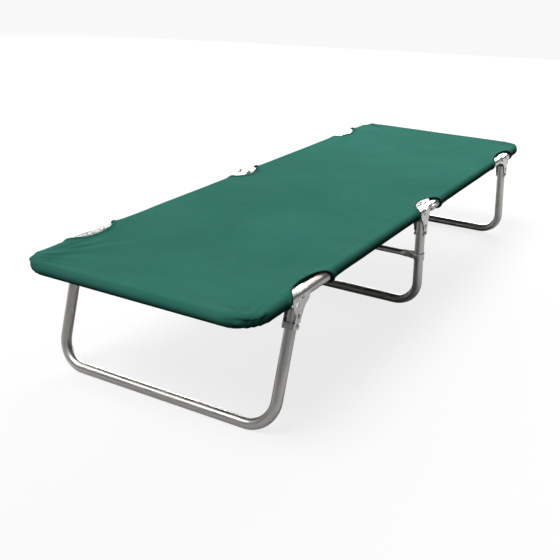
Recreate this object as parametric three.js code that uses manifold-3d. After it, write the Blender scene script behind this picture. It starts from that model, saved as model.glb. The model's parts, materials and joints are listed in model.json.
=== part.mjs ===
// Folding cot: two U-shaped half frames hinged at the middle, three U-shaped folding legs in
// sheet-metal saddle brackets, and a fabric cover whose sleeves run along the rails.
// Millimetres, +Z up. Y is the cot's length, X its width, the floor is z = 0.

import * as THREE from 'three';
import { mergeVertices } from 'three/addons/utils/BufferGeometryUtils.js';
import Module from 'manifold-3d';

const wasm = await Module();
wasm.setup();

// ---------------------------------------------------------------- driving dimensions

const WIDTH = 610.2; // over the cover
const LENGTH = 1829.4; // over the cover
const HEIGHT = 305.3; // floor to the cover's top

const TUBE_R = 12.7; // 1 inch tube, half its size across flats
const TUBE_WALL = 1.2;
const TUBE_SIDES = 12;
const BORE_SIDES = 8;
const BEND_R = 66; // centre-line radius of every bend
const BEND_STEPS = 6;

const COVER_CLEAR = 13.2; // sleeve's inside, from the rail's axis
const COVER_OUT = 14; // sleeve's outside, from the rail's axis
const SLEEVE_SIDES = 12;

const CHEEK_IN = 13.3; // bracket cheek's inner face, from the tube's axis
const SHEET = 1.5; // bracket sheet thickness
const CHEEK_OUT = CHEEK_IN + SHEET;
const GAP = 0.3; // running gap between touching pieces

const RAIL_X = WIDTH / 2 - COVER_OUT;
const RAIL_Y = LENGTH / 2 - COVER_OUT;
const RAIL_Z = HEIGHT - COVER_OUT;
const JOINT_GAP = 0.5; // between the two half frames' butting ends

const PIVOT_Z = 252; // leg pivots
const LOCK_DROP = 20; // lock rivet below the pivot, along the leg
const LEG_ABOVE = 13; // leg tube above its pivot

// Each leg: its pivot and its foot bar's axis along Y, and the way it folds (+1 = towards +Y).
const LEGS = {
  near: { pivotY: -733, footY: -808, folds: 1 },
  middle: { pivotY: -22, footY: -3, folds: -1 },
  far: { pivotY: 724, footY: 775, folds: -1 },
};

// Rivets: radius of the shank, radius of the head and the head's height.
const PIVOT_RIVET = { shank: 3, head: 5.4, rise: 1.8 };
const LOCK_RIVET = { shank: 2.5, head: 4.8, rise: 1.6 };
const RAIL_RIVET = { shank: 2.4, head: 4.6, rise: 1.6 };
const BRACE_RIVET = { shank: 2.5, head: 4.8, rise: 1.4 };
const HINGE_PIN = { shank: 2.2, head: 4, rise: 0.9 };
const RIVET_SIDES = 8;
const HOLE_SIDES = 10;

// Saddle brackets, along the rail from the leg's pivot: reach away from the fold, reach towards
// it, and the rivet through the rail.
const BRACKETS = {
  near: { webSide: 26, foldSide: 46, railRivet: 14 },
  middle: { webSide: 20, foldSide: 40, railRivet: 18 },
  far: { webSide: 26, foldSide: 46, railRivet: 14 },
};
const CHEEK_DROP = 29; // cheek's bottom edge below the pivot, along the leg
const CHEEK_CORNER = 4;
const WEB_FROM = 15.5; // web's top edge below the pivot, clear of the turning leg's end
const LOCK_SLOT = { from: -8, to: 64 }; // degrees round the pivot from the leg's line

// Slot in each end bracket's cheeks: (along the rail from the pivot, up from the rail's axis).
const CHEEK_SLOT = [[-15, -11], [-6, -17], [1, -8], [-5, -5.5]];

const HINGE_Z = RAIL_Z + 14.2; // frame fold axis, just over the rail's top
const EAR_R = 6.5;
const STRAP_RIVETS_Y = [20, 38];
const STRAP = { half: 7.5, endY: 42, stepFrom: 8.4, stepTo: 13 };

// Notches in the cover's long sides: ends along |y| and depth from the cover's outer edge.
const NOTCH_END = { from: 590, to: 764, depth: 38 };
const NOTCH_MIDDLE = { from: -78, to: 78, depth: 42 };
const NOTCH_SLOPE = 30; // along y, from a notch's mouth to its full depth

const BRACE_Z = 160; // middle leg's cross brace, above the floor
const BRACE_R = 8;
const BRACE_WALL = 1.1;
const BRACE_FLAT = { high: 10.5, thick: 2.1 }; // half sizes of its flattened ends
const BRACE_TAPER = { from: 40, to: 22 }; // from the brace's end
const COLLAR_HIGH = 20;
const COLLAR_TAB = 26; // collar's tab, from the upright's axis
const COLLAR_RIVET = 21;

// ---------------------------------------------------------------- materials

const metal = (color, roughness) => new THREE.MeshStandardMaterial({ color, roughness, metalness: 1 });
const TUBE_METAL = metal(0xa9a7a3, 0.38);
const PLATE_METAL = metal(0xc4c4c2, 0.34);
const RIVET_METAL = metal(0x8d8b88, 0.4);
const CLOTH = new THREE.MeshStandardMaterial({ color: 0x3a7a68, roughness: 0.85, metalness: 0 });

// ---------------------------------------------------------------- geometry helpers

const X_AXIS = new THREE.Vector3(1, 0, 0);
const Y_AXIS = new THREE.Vector3(0, 1, 0);
const Z_AXIS = new THREE.Vector3(0, 0, 1);
const YZ_PLANE = new THREE.Matrix4().makeBasis(Y_AXIS, Z_AXIS, X_AXIS); // outline (y, z), depth +x
const XZ_PLANE = new THREE.Matrix4().makeBasis(X_AXIS, Z_AXIS, Y_AXIS.clone().negate()); // depth -y

// A curve that passes straight from one listed station to the next, so that a sweep puts one
// ring at each bend step and none along the straight stretches.
class Route extends THREE.Curve {
  constructor(stations) {
    super();
    this.stations = stations;
  }

  station(u) {
    return this.stations[Math.round(u * (this.stations.length - 1))];
  }

  getPoint(u, target = new THREE.Vector3()) {
    return target.copy(this.station(u).at);
  }

  getPointAt(u, target) {
    return this.getPoint(u, target);
  }

  getTangentAt(u, target = new THREE.Vector3()) {
    return target.copy(this.station(u).along);
  }

  getSpacedPoints() {
    return this.stations.map((station) => station.at.clone());
  }
}

// Stations of a U in a plane: down one side, round two bends, up the other side. `across` and
// `down` are the plane's unit directions, `half` is half the width between the side centre-lines.
function uStations(half, top, bottom, across, down) {
  const place = (a, d) => across.clone().multiplyScalar(a).addScaledVector(down, d);
  const stations = [{ at: place(half, top), along: down.clone() }];
  for (const side of [1, -1]) {
    for (let i = 0; i <= BEND_STEPS; i += 1) {
      const turn = (Math.PI / 2) * (side > 0 ? i / BEND_STEPS : 1 - i / BEND_STEPS);
      const a = side * (half - BEND_R + BEND_R * Math.cos(turn));
      const d = bottom - BEND_R + BEND_R * Math.sin(turn);
      const along = across.clone().multiplyScalar(-Math.sin(turn));
      along.addScaledVector(down, side * Math.cos(turn));
      stations.push({ at: place(a, d), along });
    }
  }
  stations.push({ at: place(-half, top), along: down.clone().negate() });
  return stations;
}

// Regular polygon with its flats at distance `flat` from the centre.
function polygonPoints(flat, sides, turn = 0) {
  const r = flat / Math.cos(Math.PI / sides);
  return Array.from({ length: sides }, (_, i) => {
    const angle = ((i + 0.5) * 2 * Math.PI) / sides + turn;
    return new THREE.Vector2(r * Math.cos(angle), r * Math.sin(angle));
  });
}

function pipeShape(outFlat, outSides, inFlat, inSides, turn = 0) {
  const shape = new THREE.Shape(polygonPoints(outFlat, outSides, turn));
  shape.holes.push(new THREE.Path(polygonPoints(inFlat, inSides, turn)));
  return shape;
}

function sweep(shape, stations) {
  const settings = { steps: stations.length - 1, extrudePath: new Route(stations), bevelEnabled: false };
  return new THREE.ExtrudeGeometry(shape, settings);
}

function prism(points, depth, basis, start) {
  const shape = new THREE.Shape(points.map(([a, b]) => new THREE.Vector2(a, b)));
  const geometry = new THREE.ExtrudeGeometry(shape, { depth, bevelEnabled: false });
  geometry.translate(0, 0, start);
  if (basis) geometry.applyMatrix4(basis);
  return geometry;
}

const plateX = (points, from, to) => prism(points, to - from, YZ_PLANE, from);
const plateY = (points, from, to) => prism(points, to - from, XZ_PLANE, -to);
const plateZ = (points, from, to) => prism(points, to - from, null, from);

// Hole cutter along X, centred on x.
function holeX(rivet, x, y, z) {
  const radius = rivet.shank + GAP;
  const geometry = new THREE.CylinderGeometry(radius, radius, 40, HOLE_SIDES);
  geometry.rotateZ(Math.PI / 2);
  geometry.translate(x, y, z);
  return geometry;
}

// Hole cutter along Y, at x.
function holeY(rivet, x) {
  const radius = rivet.shank + GAP;
  return new THREE.CylinderGeometry(radius, radius, 40, HOLE_SIDES).translate(x, 0, 0);
}

function solid(geometry) {
  const bare = geometry.clone();
  bare.deleteAttribute('normal');
  bare.deleteAttribute('uv');
  const merged = mergeVertices(bare, 1e-4);
  const vertProperties = Float32Array.from(merged.attributes.position.array);
  const triVerts = Uint32Array.from(merged.index.array);
  return new wasm.Manifold(new wasm.Mesh({ numProp: 3, vertProperties, triVerts }));
}

function fromSolid(body) {
  const mesh = body.getMesh();
  const geometry = new THREE.BufferGeometry();
  geometry.setAttribute('position', new THREE.BufferAttribute(Float32Array.from(mesh.vertProperties), 3));
  geometry.setIndex(Array.from(mesh.triVerts));
  geometry.computeVertexNormals();
  return geometry;
}

const cutAll = (body, cutters) => cutters.reduce((rest, cutter) => rest.subtract(solid(cutter)), body);
const addAll = (body, extras) => extras.reduce((whole, extra) => whole.add(solid(extra)), body);

function arcPoints(cx, cy, r, fromDeg, toDeg, steps) {
  return Array.from({ length: steps + 1 }, (_, i) => {
    const angle = THREE.MathUtils.degToRad(fromDeg + ((toDeg - fromDeg) * i) / steps);
    return [cx + r * Math.cos(angle), cy + r * Math.sin(angle)];
  });
}

const cot = new THREE.Group();

function addPiece(parent, name, geometry, material, position = [0, 0, 0]) {
  const mesh = new THREE.Mesh(geometry, material);
  mesh.name = name;
  mesh.position.set(...position);
  parent.add(mesh);
  return mesh;
}

const SIDES = { right: 1, left: -1 };

// ---------------------------------------------------------------- rivets

// A rivet along X with a tapered flat head at each end; `grip` is from its middle to either head.
function rivetGeometry({ shank, head, rise }, grip) {
  const profile = [
    [0, -grip - rise],
    [head * 0.75, -grip - rise],
    [head, -grip],
    [shank, -grip],
    [shank, grip],
    [head, grip],
    [head * 0.75, grip + rise],
    [0, grip + rise],
  ];
  const points = profile.map(([r, along]) => new THREE.Vector2(r, along));
  const geometry = new THREE.LatheGeometry(points, RIVET_SIDES);
  geometry.rotateZ(Math.PI / 2);
  return geometry;
}

const BRACKET_GRIP = CHEEK_OUT + GAP;

// ---------------------------------------------------------------- half frames

const railHoles = (y) => [-1, 1].map((s) => holeX(RAIL_RIVET, s * RAIL_X, y, 0));

function halfFrameGeometry(end, holesY) {
  const down = Y_AXIS.clone().multiplyScalar(end);
  const stations = uStations(RAIL_X, JOINT_GAP / 2, RAIL_Y, X_AXIS, down);
  const section = pipeShape(TUBE_R, TUBE_SIDES, TUBE_R - TUBE_WALL, BORE_SIDES);
  return fromSolid(cutAll(solid(sweep(section, stations)), holesY.flatMap(railHoles)));
}

// ---------------------------------------------------------------- saddle brackets

// Local frame: the leg's pivot at the origin, +Y the way the leg folds, x = 0 the rail's axis.
// `lean` is the leg's angle out of the vertical, away from the fold.
const RAIL_UP = RAIL_Z - PIVOT_Z;

function saddleSection(low) {
  const corner = 180 / TUBE_SIDES;
  const ring = (flat, fromDeg, toDeg) =>
    arcPoints(0, RAIL_UP, flat / Math.cos(Math.PI / TUBE_SIDES), fromDeg, toDeg, TUBE_SIDES / 2 - 1);
  return [
    [CHEEK_OUT, low],
    ...ring(CHEEK_OUT, corner, 180 - corner),
    [-CHEEK_OUT, low],
    [-CHEEK_IN, low],
    ...ring(CHEEK_IN, 180 - corner, corner),
    [CHEEK_IN, low],
  ];
}

function bracketBody({ webSide, foldSide }, lean) {
  const [sin, cos] = [Math.sin(lean), Math.cos(lean)];
  const along = (d, n) => [n * cos - d * sin, -n * sin - d * cos];
  const outline = [
    along(CHEEK_DROP - CHEEK_CORNER, -CHEEK_OUT),
    along(CHEEK_DROP, -CHEEK_OUT + CHEEK_CORNER),
    along(CHEEK_DROP, 10 - CHEEK_CORNER),
    along(CHEEK_DROP - CHEEK_CORNER, 10),
    along(4, 12),
    [24, 16],
    [foldSide - 4, RAIL_UP - 12],
    [foldSide, RAIL_UP - 6],
    [foldSide, RAIL_UP + 20],
    [-webSide, RAIL_UP + 20],
    [-webSide, RAIL_UP - 8],
    along(0, -CHEEK_OUT - 2),
  ];
  const wrap = solid(plateY(saddleSection(-CHEEK_DROP - 10), -80, 80));
  const folded = wrap.intersect(solid(plateX(outline, -20, 20)));
  const web = [
    along(WEB_FROM, -CHEEK_OUT),
    along(WEB_FROM, -CHEEK_IN),
    along(CHEEK_DROP, -CHEEK_IN),
    along(CHEEK_DROP, -CHEEK_OUT),
  ];
  const body = folded.add(solid(plateX(web, -CHEEK_OUT, CHEEK_OUT)));
  const slotEdge = (r, from, to) => arcPoints(0, 0, r, from, to, 4).map(([d, n]) => along(d, n));
  const half = LOCK_RIVET.shank + GAP * 1.5;
  const lockSlot = [
    ...slotEdge(LOCK_DROP - half, LOCK_SLOT.from, LOCK_SLOT.to),
    ...slotEdge(LOCK_DROP + half, LOCK_SLOT.to, LOCK_SLOT.from),
  ];
  return cutAll(body, [plateX(lockSlot, -20, 20), holeX(PIVOT_RIVET, 0, 0, 0)]);
}

function bracketGeometry(key, lean) {
  const size = BRACKETS[key];
  const body = cutAll(bracketBody(size, lean), [holeX(RAIL_RIVET, 0, size.railRivet, RAIL_UP)]);
  if (key !== 'middle') {
    const slot = CHEEK_SLOT.map(([y, z]) => [y, RAIL_UP + z]);
    return fromSolid(cutAll(body, [plateX(slot, -20, 20)]));
  }
  const pinY = LEGS.middle.pivotY;
  const pinZ = HINGE_Z - PIVOT_Z;
  const ear = [
    [pinY + 30, RAIL_UP - 4],
    [pinY + 30, RAIL_UP + 6],
    ...arcPoints(pinY, pinZ, EAR_R, 80, 250, 6),
    [pinY + 3, RAIL_UP - 4],
  ];
  const ears = [plateX(ear, CHEEK_IN, CHEEK_OUT), plateX(ear, -CHEEK_OUT, -CHEEK_IN)];
  return fromSolid(cutAll(addAll(body, ears), [holeX(HINGE_PIN, 0, pinY, pinZ)]));
}

// ---------------------------------------------------------------- frame hinge straps

// Flat strap on the far rail's side, set out past the bracket's ear at the pivot. `side` is +1
// for the strap on the rail's +X face and -1 for the one on its -X face.
function strapGeometry(side) {
  const near = TUBE_R + GAP;
  const past = CHEEK_OUT + GAP;
  const plan = [
    [past, -10],
    [past + SHEET, -10],
    [past + SHEET, STRAP.stepFrom + 0.6],
    [near + SHEET, STRAP.stepTo],
    [near + SHEET, STRAP.endY + 8],
    [near, STRAP.endY + 8],
    [near, STRAP.stepTo - 0.6],
    [past, STRAP.stepFrom],
  ].map(([x, y]) => [side * x, y]);
  const rise = HINGE_Z - RAIL_Z;
  const outline = [
    ...arcPoints(0, rise, EAR_R, 70, 270, 7),
    [8, rise - 12],
    [14, -STRAP.half],
    ...arcPoints(STRAP.endY, 0, STRAP.half, -90, 90, 5),
    [14, STRAP.half],
  ];
  const cuts = STRAP_RIVETS_Y.map((y) => holeX(RAIL_RIVET, 0, y, 0));
  cuts.push(holeX(HINGE_PIN, 0, 0, rise));
  const flat = solid(plateZ(plan, -20, 40)).intersect(solid(plateX(outline, -20, 20)));
  return fromSolid(cutAll(flat, cuts));
}

// ---------------------------------------------------------------- legs

const legPivot = (leg) => [0, leg.pivotY, PIVOT_Z];
const legRun = (leg) => Math.hypot(leg.footY - leg.pivotY, PIVOT_Z - TUBE_R);
const legTurn = (leg) => Math.atan2(leg.footY - leg.pivotY, PIVOT_Z - TUBE_R);

function legGeometry(leg) {
  const stations = uStations(RAIL_X, -LEG_ABOVE, legRun(leg), X_AXIS, Z_AXIS.clone().negate());
  const section = pipeShape(TUBE_R, TUBE_SIDES, TUBE_R - TUBE_WALL, BORE_SIDES, legTurn(leg));
  const holes = Object.values(SIDES).flatMap((s) => [
    holeX(PIVOT_RIVET, s * RAIL_X, 0, 0),
    holeX(LOCK_RIVET, s * RAIL_X, 0, -LOCK_DROP),
  ]);
  return fromSolid(cutAll(solid(sweep(section, stations)), holes));
}

// ---------------------------------------------------------------- middle leg's brace

// Tube along X whose ends are pressed flat, kept open through its whole length.
function braceGeometry(half) {
  const count = 12;
  const flatten = [[half, 1], [half - BRACE_TAPER.to, 1], [half - BRACE_TAPER.from, 0]];
  const ends = [...flatten, ...flatten.map(([x, f]) => [-x, f]).reverse()];
  const ring = (x, f, inset) => Array.from({ length: count }, (_, i) => {
    const angle = ((i + 0.5) * 2 * Math.PI) / count;
    const high = THREE.MathUtils.lerp(BRACE_R, BRACE_FLAT.high, f) - inset;
    const thick = THREE.MathUtils.lerp(BRACE_R, BRACE_FLAT.thick, f) - inset;
    return [x, thick * Math.cos(angle), high * Math.sin(angle)];
  });
  const outside = ends.flatMap(([x, f]) => ring(x, f, 0));
  const inside = ends.flatMap(([x, f]) => ring(x, f, BRACE_WALL));
  const triangles = [];
  const quad = (a, b, c, d) => triangles.push(a, b, c, a, c, d);
  const base = outside.length;
  for (let r = 0; r < ends.length - 1; r += 1) {
    for (let i = 0; i < count; i += 1) {
      const j = (i + 1) % count;
      const [a, b] = [r * count, (r + 1) * count];
      quad(a + i, b + i, b + j, a + j);
      quad(base + a + i, base + a + j, base + b + j, base + b + i);
    }
  }
  const last = (ends.length - 1) * count;
  for (let i = 0; i < count; i += 1) {
    const j = (i + 1) % count;
    quad(i, j, base + j, base + i);
    quad(last + i, base + last + i, base + last + j, last + j);
  }
  const geometry = new THREE.BufferGeometry();
  geometry.setAttribute('position', new THREE.Float32BufferAttribute([...outside, ...inside].flat(), 3));
  geometry.setIndex(triangles);
  geometry.computeVertexNormals();
  return geometry;
}

// Strap folded round the upright, its two ends reaching out along -X on either side of the brace.
function collarGeometry() {
  const slit = BRACE_FLAT.thick + GAP;
  const ring = pipeShape(CHEEK_OUT, TUBE_SIDES, CHEEK_IN, TUBE_SIDES);
  const band = new THREE.ExtrudeGeometry(ring, { depth: COLLAR_HIGH, bevelEnabled: false });
  band.translate(0, 0, -COLLAR_HIGH / 2);
  const leaf = (s) => plateZ([
    [-CHEEK_IN, s * slit],
    [-COLLAR_TAB, s * slit],
    [-COLLAR_TAB, s * (slit + SHEET)],
    [-CHEEK_IN, s * (slit + SHEET)],
  ], -COLLAR_HIGH / 2, COLLAR_HIGH / 2);
  const mouthEnd = -CHEEK_IN + 2;
  const mouth = plateZ([[mouthEnd, -slit], [-40, -slit], [-40, slit], [mouthEnd, slit]], -20, 20);
  return cutAll(addAll(solid(band), [leaf(1), leaf(-1)]), [mouth, holeY(BRACE_RIVET, -COLLAR_RIVET)]);
}

// ---------------------------------------------------------------- cover

function notchCutter(side, { from, to, depth }) {
  const edge = WIDTH / 2;
  const mouth = RAIL_X - COVER_OUT - 1;
  const points = [
    [edge + 9, from],
    [mouth, from],
    [edge - depth, from + NOTCH_SLOPE],
    [edge - depth, to - NOTCH_SLOPE],
    [mouth, to],
    [edge + 9, to],
  ].map(([x, y]) => [side * x, y]);
  return plateZ(points, RAIL_Z - 25, RAIL_Z + 25);
}

function coverGeometry(end) {
  const down = Y_AXIS.clone().multiplyScalar(end);
  const stations = uStations(RAIL_X, 2, RAIL_Y, X_AXIS, down);
  const sleeve = sweep(pipeShape(COVER_OUT, SLEEVE_SIDES, COVER_CLEAR, SLEEVE_SIDES), stations);
  sleeve.translate(0, 0, RAIL_Z);
  const outline = stations.map(({ at }) => [at.x, at.y]);
  const sheet = plateZ(outline, RAIL_Z + COVER_CLEAR, RAIL_Z + COVER_OUT);
  const cutters = Object.values(SIDES).flatMap((side) => {
    const [from, to] = [end * NOTCH_END.from, end * NOTCH_END.to].sort((a, b) => a - b);
    return [notchCutter(side, { ...NOTCH_END, from, to }), notchCutter(side, NOTCH_MIDDLE)];
  });
  return fromSolid(cutAll(solid(sleeve).add(solid(sheet)), cutters));
}

// ---------------------------------------------------------------- assembly: frame

const railRivetY = (key) => LEGS[key].pivotY + LEGS[key].folds * BRACKETS[key].railRivet;
const nearHoles = [railRivetY('near'), railRivetY('middle')];
const farHoles = [railRivetY('far'), ...STRAP_RIVETS_Y];
const atRail = [0, 0, RAIL_Z];
addPiece(cot, 'near_half_frame', halfFrameGeometry(-1, nearHoles), TUBE_METAL, atRail);
addPiece(cot, 'far_half_frame', halfFrameGeometry(1, farHoles), TUBE_METAL, atRail);
addPiece(cot, 'near_cover', coverGeometry(-1), CLOTH);
addPiece(cot, 'far_cover', coverGeometry(1), CLOTH);

for (const [sideName, side] of Object.entries(SIDES)) {
  for (const [key, leg] of Object.entries(LEGS)) {
    const holder = new THREE.Group();
    holder.position.set(side * RAIL_X, leg.pivotY, PIVOT_Z);
    holder.rotation.z = leg.folds > 0 ? 0 : Math.PI;
    const lean = Math.abs(legTurn(leg));
    const pivotRivet = rivetGeometry(PIVOT_RIVET, BRACKET_GRIP);
    const railRivet = rivetGeometry(RAIL_RIVET, BRACKET_GRIP);
    const railPlace = [0, BRACKETS[key].railRivet, RAIL_UP];
    addPiece(holder, `${key}_bracket_${sideName}`, bracketGeometry(key, lean), PLATE_METAL);
    addPiece(holder, `${key}_leg_pivot_rivet_${sideName}`, pivotRivet, RIVET_METAL);
    addPiece(holder, `${key}_bracket_rivet_${sideName}`, railRivet, RIVET_METAL, railPlace);
    cot.add(holder);
  }

  for (const [faceName, face] of [['outer', side], ['inner', -side]]) {
    const strapPlace = [side * RAIL_X, 0, RAIL_Z];
    const pinPlace = [side * RAIL_X + face * (CHEEK_OUT + GAP / 2), 0, HINGE_Z];
    const pin = rivetGeometry(HINGE_PIN, SHEET + GAP * 1.5);
    addPiece(cot, `hinge_strap_${sideName}_${faceName}`, strapGeometry(face), PLATE_METAL, strapPlace);
    addPiece(cot, `hinge_pin_${sideName}_${faceName}`, pin, RIVET_METAL, pinPlace);
  }
  STRAP_RIVETS_Y.forEach((y, i) => {
    const geometry = rivetGeometry(RAIL_RIVET, TUBE_R + GAP * 2 + SHEET);
    const place = [side * RAIL_X, y, RAIL_Z];
    addPiece(cot, `hinge_strap_rivet_${sideName}_${i + 1}`, geometry, RIVET_METAL, place);
  });
}

// ---------------------------------------------------------------- assembly: legs

const legHolders = {};
for (const [key, leg] of Object.entries(LEGS)) {
  const holder = new THREE.Group();
  holder.position.set(...legPivot(leg));
  holder.rotation.x = legTurn(leg);
  addPiece(holder, `${key}_leg`, legGeometry(leg), TUBE_METAL);
  for (const [sideName, side] of Object.entries(SIDES)) {
    const rivet = rivetGeometry(LOCK_RIVET, BRACKET_GRIP);
    const place = [side * RAIL_X, 0, -LOCK_DROP];
    addPiece(holder, `${key}_leg_lock_rivet_${sideName}`, rivet, RIVET_METAL, place);
  }
  legHolders[key] = holder;
  cot.add(holder);
}

// ---------------------------------------------------------------- assembly: middle leg's brace

const braceDown = (BRACE_Z - PIVOT_Z) / Math.cos(legTurn(LEGS.middle));
const braceHalf = RAIL_X - CHEEK_OUT - 1;
const braceRivetX = RAIL_X - COLLAR_RIVET;
const braceHoles = [holeY(BRACE_RIVET, braceRivetX), holeY(BRACE_RIVET, -braceRivetX)];
const brace = fromSolid(cutAll(solid(braceGeometry(braceHalf)), braceHoles));
addPiece(legHolders.middle, 'middle_leg_brace', brace, TUBE_METAL, [0, 0, braceDown]);

for (const [sideName, side] of Object.entries(SIDES)) {
  const collarPlace = [side * RAIL_X, 0, braceDown];
  const rivetPlace = [side * braceRivetX, 0, braceDown];
  const collar = fromSolid(collarGeometry());
  const rivet = rivetGeometry(BRACE_RIVET, BRACE_FLAT.thick + GAP * 2 + SHEET);
  const clamp = addPiece(legHolders.middle, `brace_collar_${sideName}`, collar, PLATE_METAL, collarPlace);
  clamp.rotation.z = side > 0 ? 0 : Math.PI;
  const pin = addPiece(legHolders.middle, `brace_rivet_${sideName}`, rivet, RIVET_METAL, rivetPlace);
  pin.rotation.z = Math.PI / 2;
}

export default cot;
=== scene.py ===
"""Folding cot, dressed: cloth cover, drawn tubes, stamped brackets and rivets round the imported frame."""

import json
import math

import bmesh
import bpy
from bpy.props import FloatProperty, FloatVectorProperty, PointerProperty
from bpy.types import NodeSocket, Operator, Panel, PropertyGroup
from mathutils import Matrix, Vector, noise


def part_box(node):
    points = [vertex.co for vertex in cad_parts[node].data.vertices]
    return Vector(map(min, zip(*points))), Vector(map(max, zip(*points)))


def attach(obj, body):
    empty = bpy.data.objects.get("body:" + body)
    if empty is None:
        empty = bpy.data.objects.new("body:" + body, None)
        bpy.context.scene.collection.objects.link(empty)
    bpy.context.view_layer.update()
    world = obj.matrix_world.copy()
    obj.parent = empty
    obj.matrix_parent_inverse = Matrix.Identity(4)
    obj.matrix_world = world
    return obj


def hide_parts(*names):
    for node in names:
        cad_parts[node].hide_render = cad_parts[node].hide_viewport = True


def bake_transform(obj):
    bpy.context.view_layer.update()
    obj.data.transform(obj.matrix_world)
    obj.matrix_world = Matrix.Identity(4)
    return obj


bl_info = {
    "name": "Folding cot",
    "version": (1, 0, 0),
    "blender": (4, 5, 0),
    "location": "View3D > Sidebar > Cot",
    "description": "Builds a folding cot's cloth, tubes, brackets and rivets round its frame",
    "category": "Add Mesh",
}

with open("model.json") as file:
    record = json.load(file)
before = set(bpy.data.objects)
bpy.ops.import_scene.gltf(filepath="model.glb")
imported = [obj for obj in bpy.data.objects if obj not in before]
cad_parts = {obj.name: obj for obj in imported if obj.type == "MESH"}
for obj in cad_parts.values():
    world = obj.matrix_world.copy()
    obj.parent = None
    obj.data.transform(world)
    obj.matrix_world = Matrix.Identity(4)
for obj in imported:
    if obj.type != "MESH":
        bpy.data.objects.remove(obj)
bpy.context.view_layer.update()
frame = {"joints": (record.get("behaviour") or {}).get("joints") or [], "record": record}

MM = 0.001
SIDES = {"right": 1, "left": -1}
LEG_KEYS = ("near", "middle", "far")


# ---------------------------------------------------------------- places read from the frame

def joint_at(name):
    return Vector(next(j["pos_m"] for j in frame["joints"] if j["name"] == name))


def mount_at(name):
    return Vector(next(m["pos_m"] for m in frame["record"]["mounts"] if m["name"] == name))


FRAME_LOW, FRAME_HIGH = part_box("near_half_frame")
TUBE_R = (FRAME_HIGH.z - FRAME_LOW.z) / 2
RAIL_X = FRAME_HIGH.x - TUBE_R
RAIL_Y = -FRAME_LOW.y - TUBE_R
RAIL_Z = (FRAME_HIGH.z + FRAME_LOW.z) / 2
JOINT_GAP = -FRAME_HIGH.y
HINGE = joint_at("frame_fold")
PIVOT = {key: joint_at(f"{key}_leg_fold") for key in LEG_KEYS}
FOOT_Y = {key: mount_at(f"{key}_foot").y for key in LEG_KEYS}
FOLDS = {"near": 1, "middle": -1, "far": -1}
FRAME_BODY = {"near": "near_frame", "middle": "near_frame", "far": "far_frame"}
LEG_BODY = {key: f"{key}_leg_set" for key in LEG_KEYS}
BRACE_LOW, BRACE_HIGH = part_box("middle_leg_brace")
RAIL_UP = RAIL_Z - PIVOT["near"].z

BEND_R = 66 * MM
LEG_ABOVE = 13 * MM  # leg tube's ends, above its pivot
CHEEK_IN = 13.3 * MM  # a bracket's faces, from the tube's axis
SHEET = 1.5 * MM
CHEEK_OUT = CHEEK_IN + SHEET
SLIP = 0.3 * MM  # clearance between sheet parts
LOCK_DROP = 20 * MM
CHEEK_DROP = LOCK_DROP + 9 * MM
WEB_TOP = 15.5 * MM  # web's top edge below the pivot
SADDLE_REACH = {
    "near": (26 * MM, 46 * MM), "middle": (-PIVOT["middle"].y - 2 * MM, 40 * MM), "far": (26 * MM, 46 * MM),
}
RAIL_RIVET_ALONG = {"near": 14 * MM, "middle": 18 * MM, "far": 14 * MM}
CHEEK_SLOT = ((-15, -11), (-6, -17), (1, -8), (-5, -5.5))  # mm along the rail, mm over its axis
EAR_R = 6.5 * MM
STRAP_RIVETS_Y = (20 * MM, 38 * MM)
STRAP_HALF = 7.5 * MM
STRAP_END = 42 * MM
STRAP_STEP = (8.4 * MM, 13 * MM)
BRACE_R = 8 * MM
BRACE_WALL = 1.1 * MM
BRACE_FLAT_THICK = 2.1 * MM  # half, like the other sizes of the brace's section
BRACE_TAPER = (40 * MM, 22 * MM)  # from the brace's end: round, then flat
COLLAR_RIVET = 21 * MM
COLLAR_TAB = 26 * MM
COLLAR_HIGH = 20 * MM


# ---------------------------------------------------------------- sizes, colours and studio

class CotSizes(PropertyGroup):
    """Sizes that a maker may change without touching the frame."""

    tube_wall: FloatProperty(
        name="Tube wall", description="Wall thickness of the frame and leg tubes",
        default=1.2 * MM, unit="LENGTH")
    cloth_thick: FloatProperty(
        name="Cloth thickness", description="Thickness of the cover's cloth",
        default=0.7 * MM, unit="LENGTH")
    hem_width: FloatProperty(
        name="Hem width", description="Width of the turned hem along each cut-out",
        default=9.5 * MM, unit="LENGTH")
    stitch_pitch: FloatProperty(
        name="Stitch pitch", description="Distance from one stitch to the next",
        default=3.4 * MM, unit="LENGTH")
    thread_pitch: FloatProperty(
        name="Thread pitch", description="Distance between the weave's threads",
        default=0.62 * MM, unit="LENGTH")
    sag: FloatProperty(
        name="Sag", description="How far the cloth hangs below the rails' top at mid width",
        default=2.5 * MM, unit="LENGTH")
    rivet_dome: FloatProperty(
        name="Rivet dome", description="Height of a rivet's domed head",
        default=1.7 * MM, unit="LENGTH")


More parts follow.
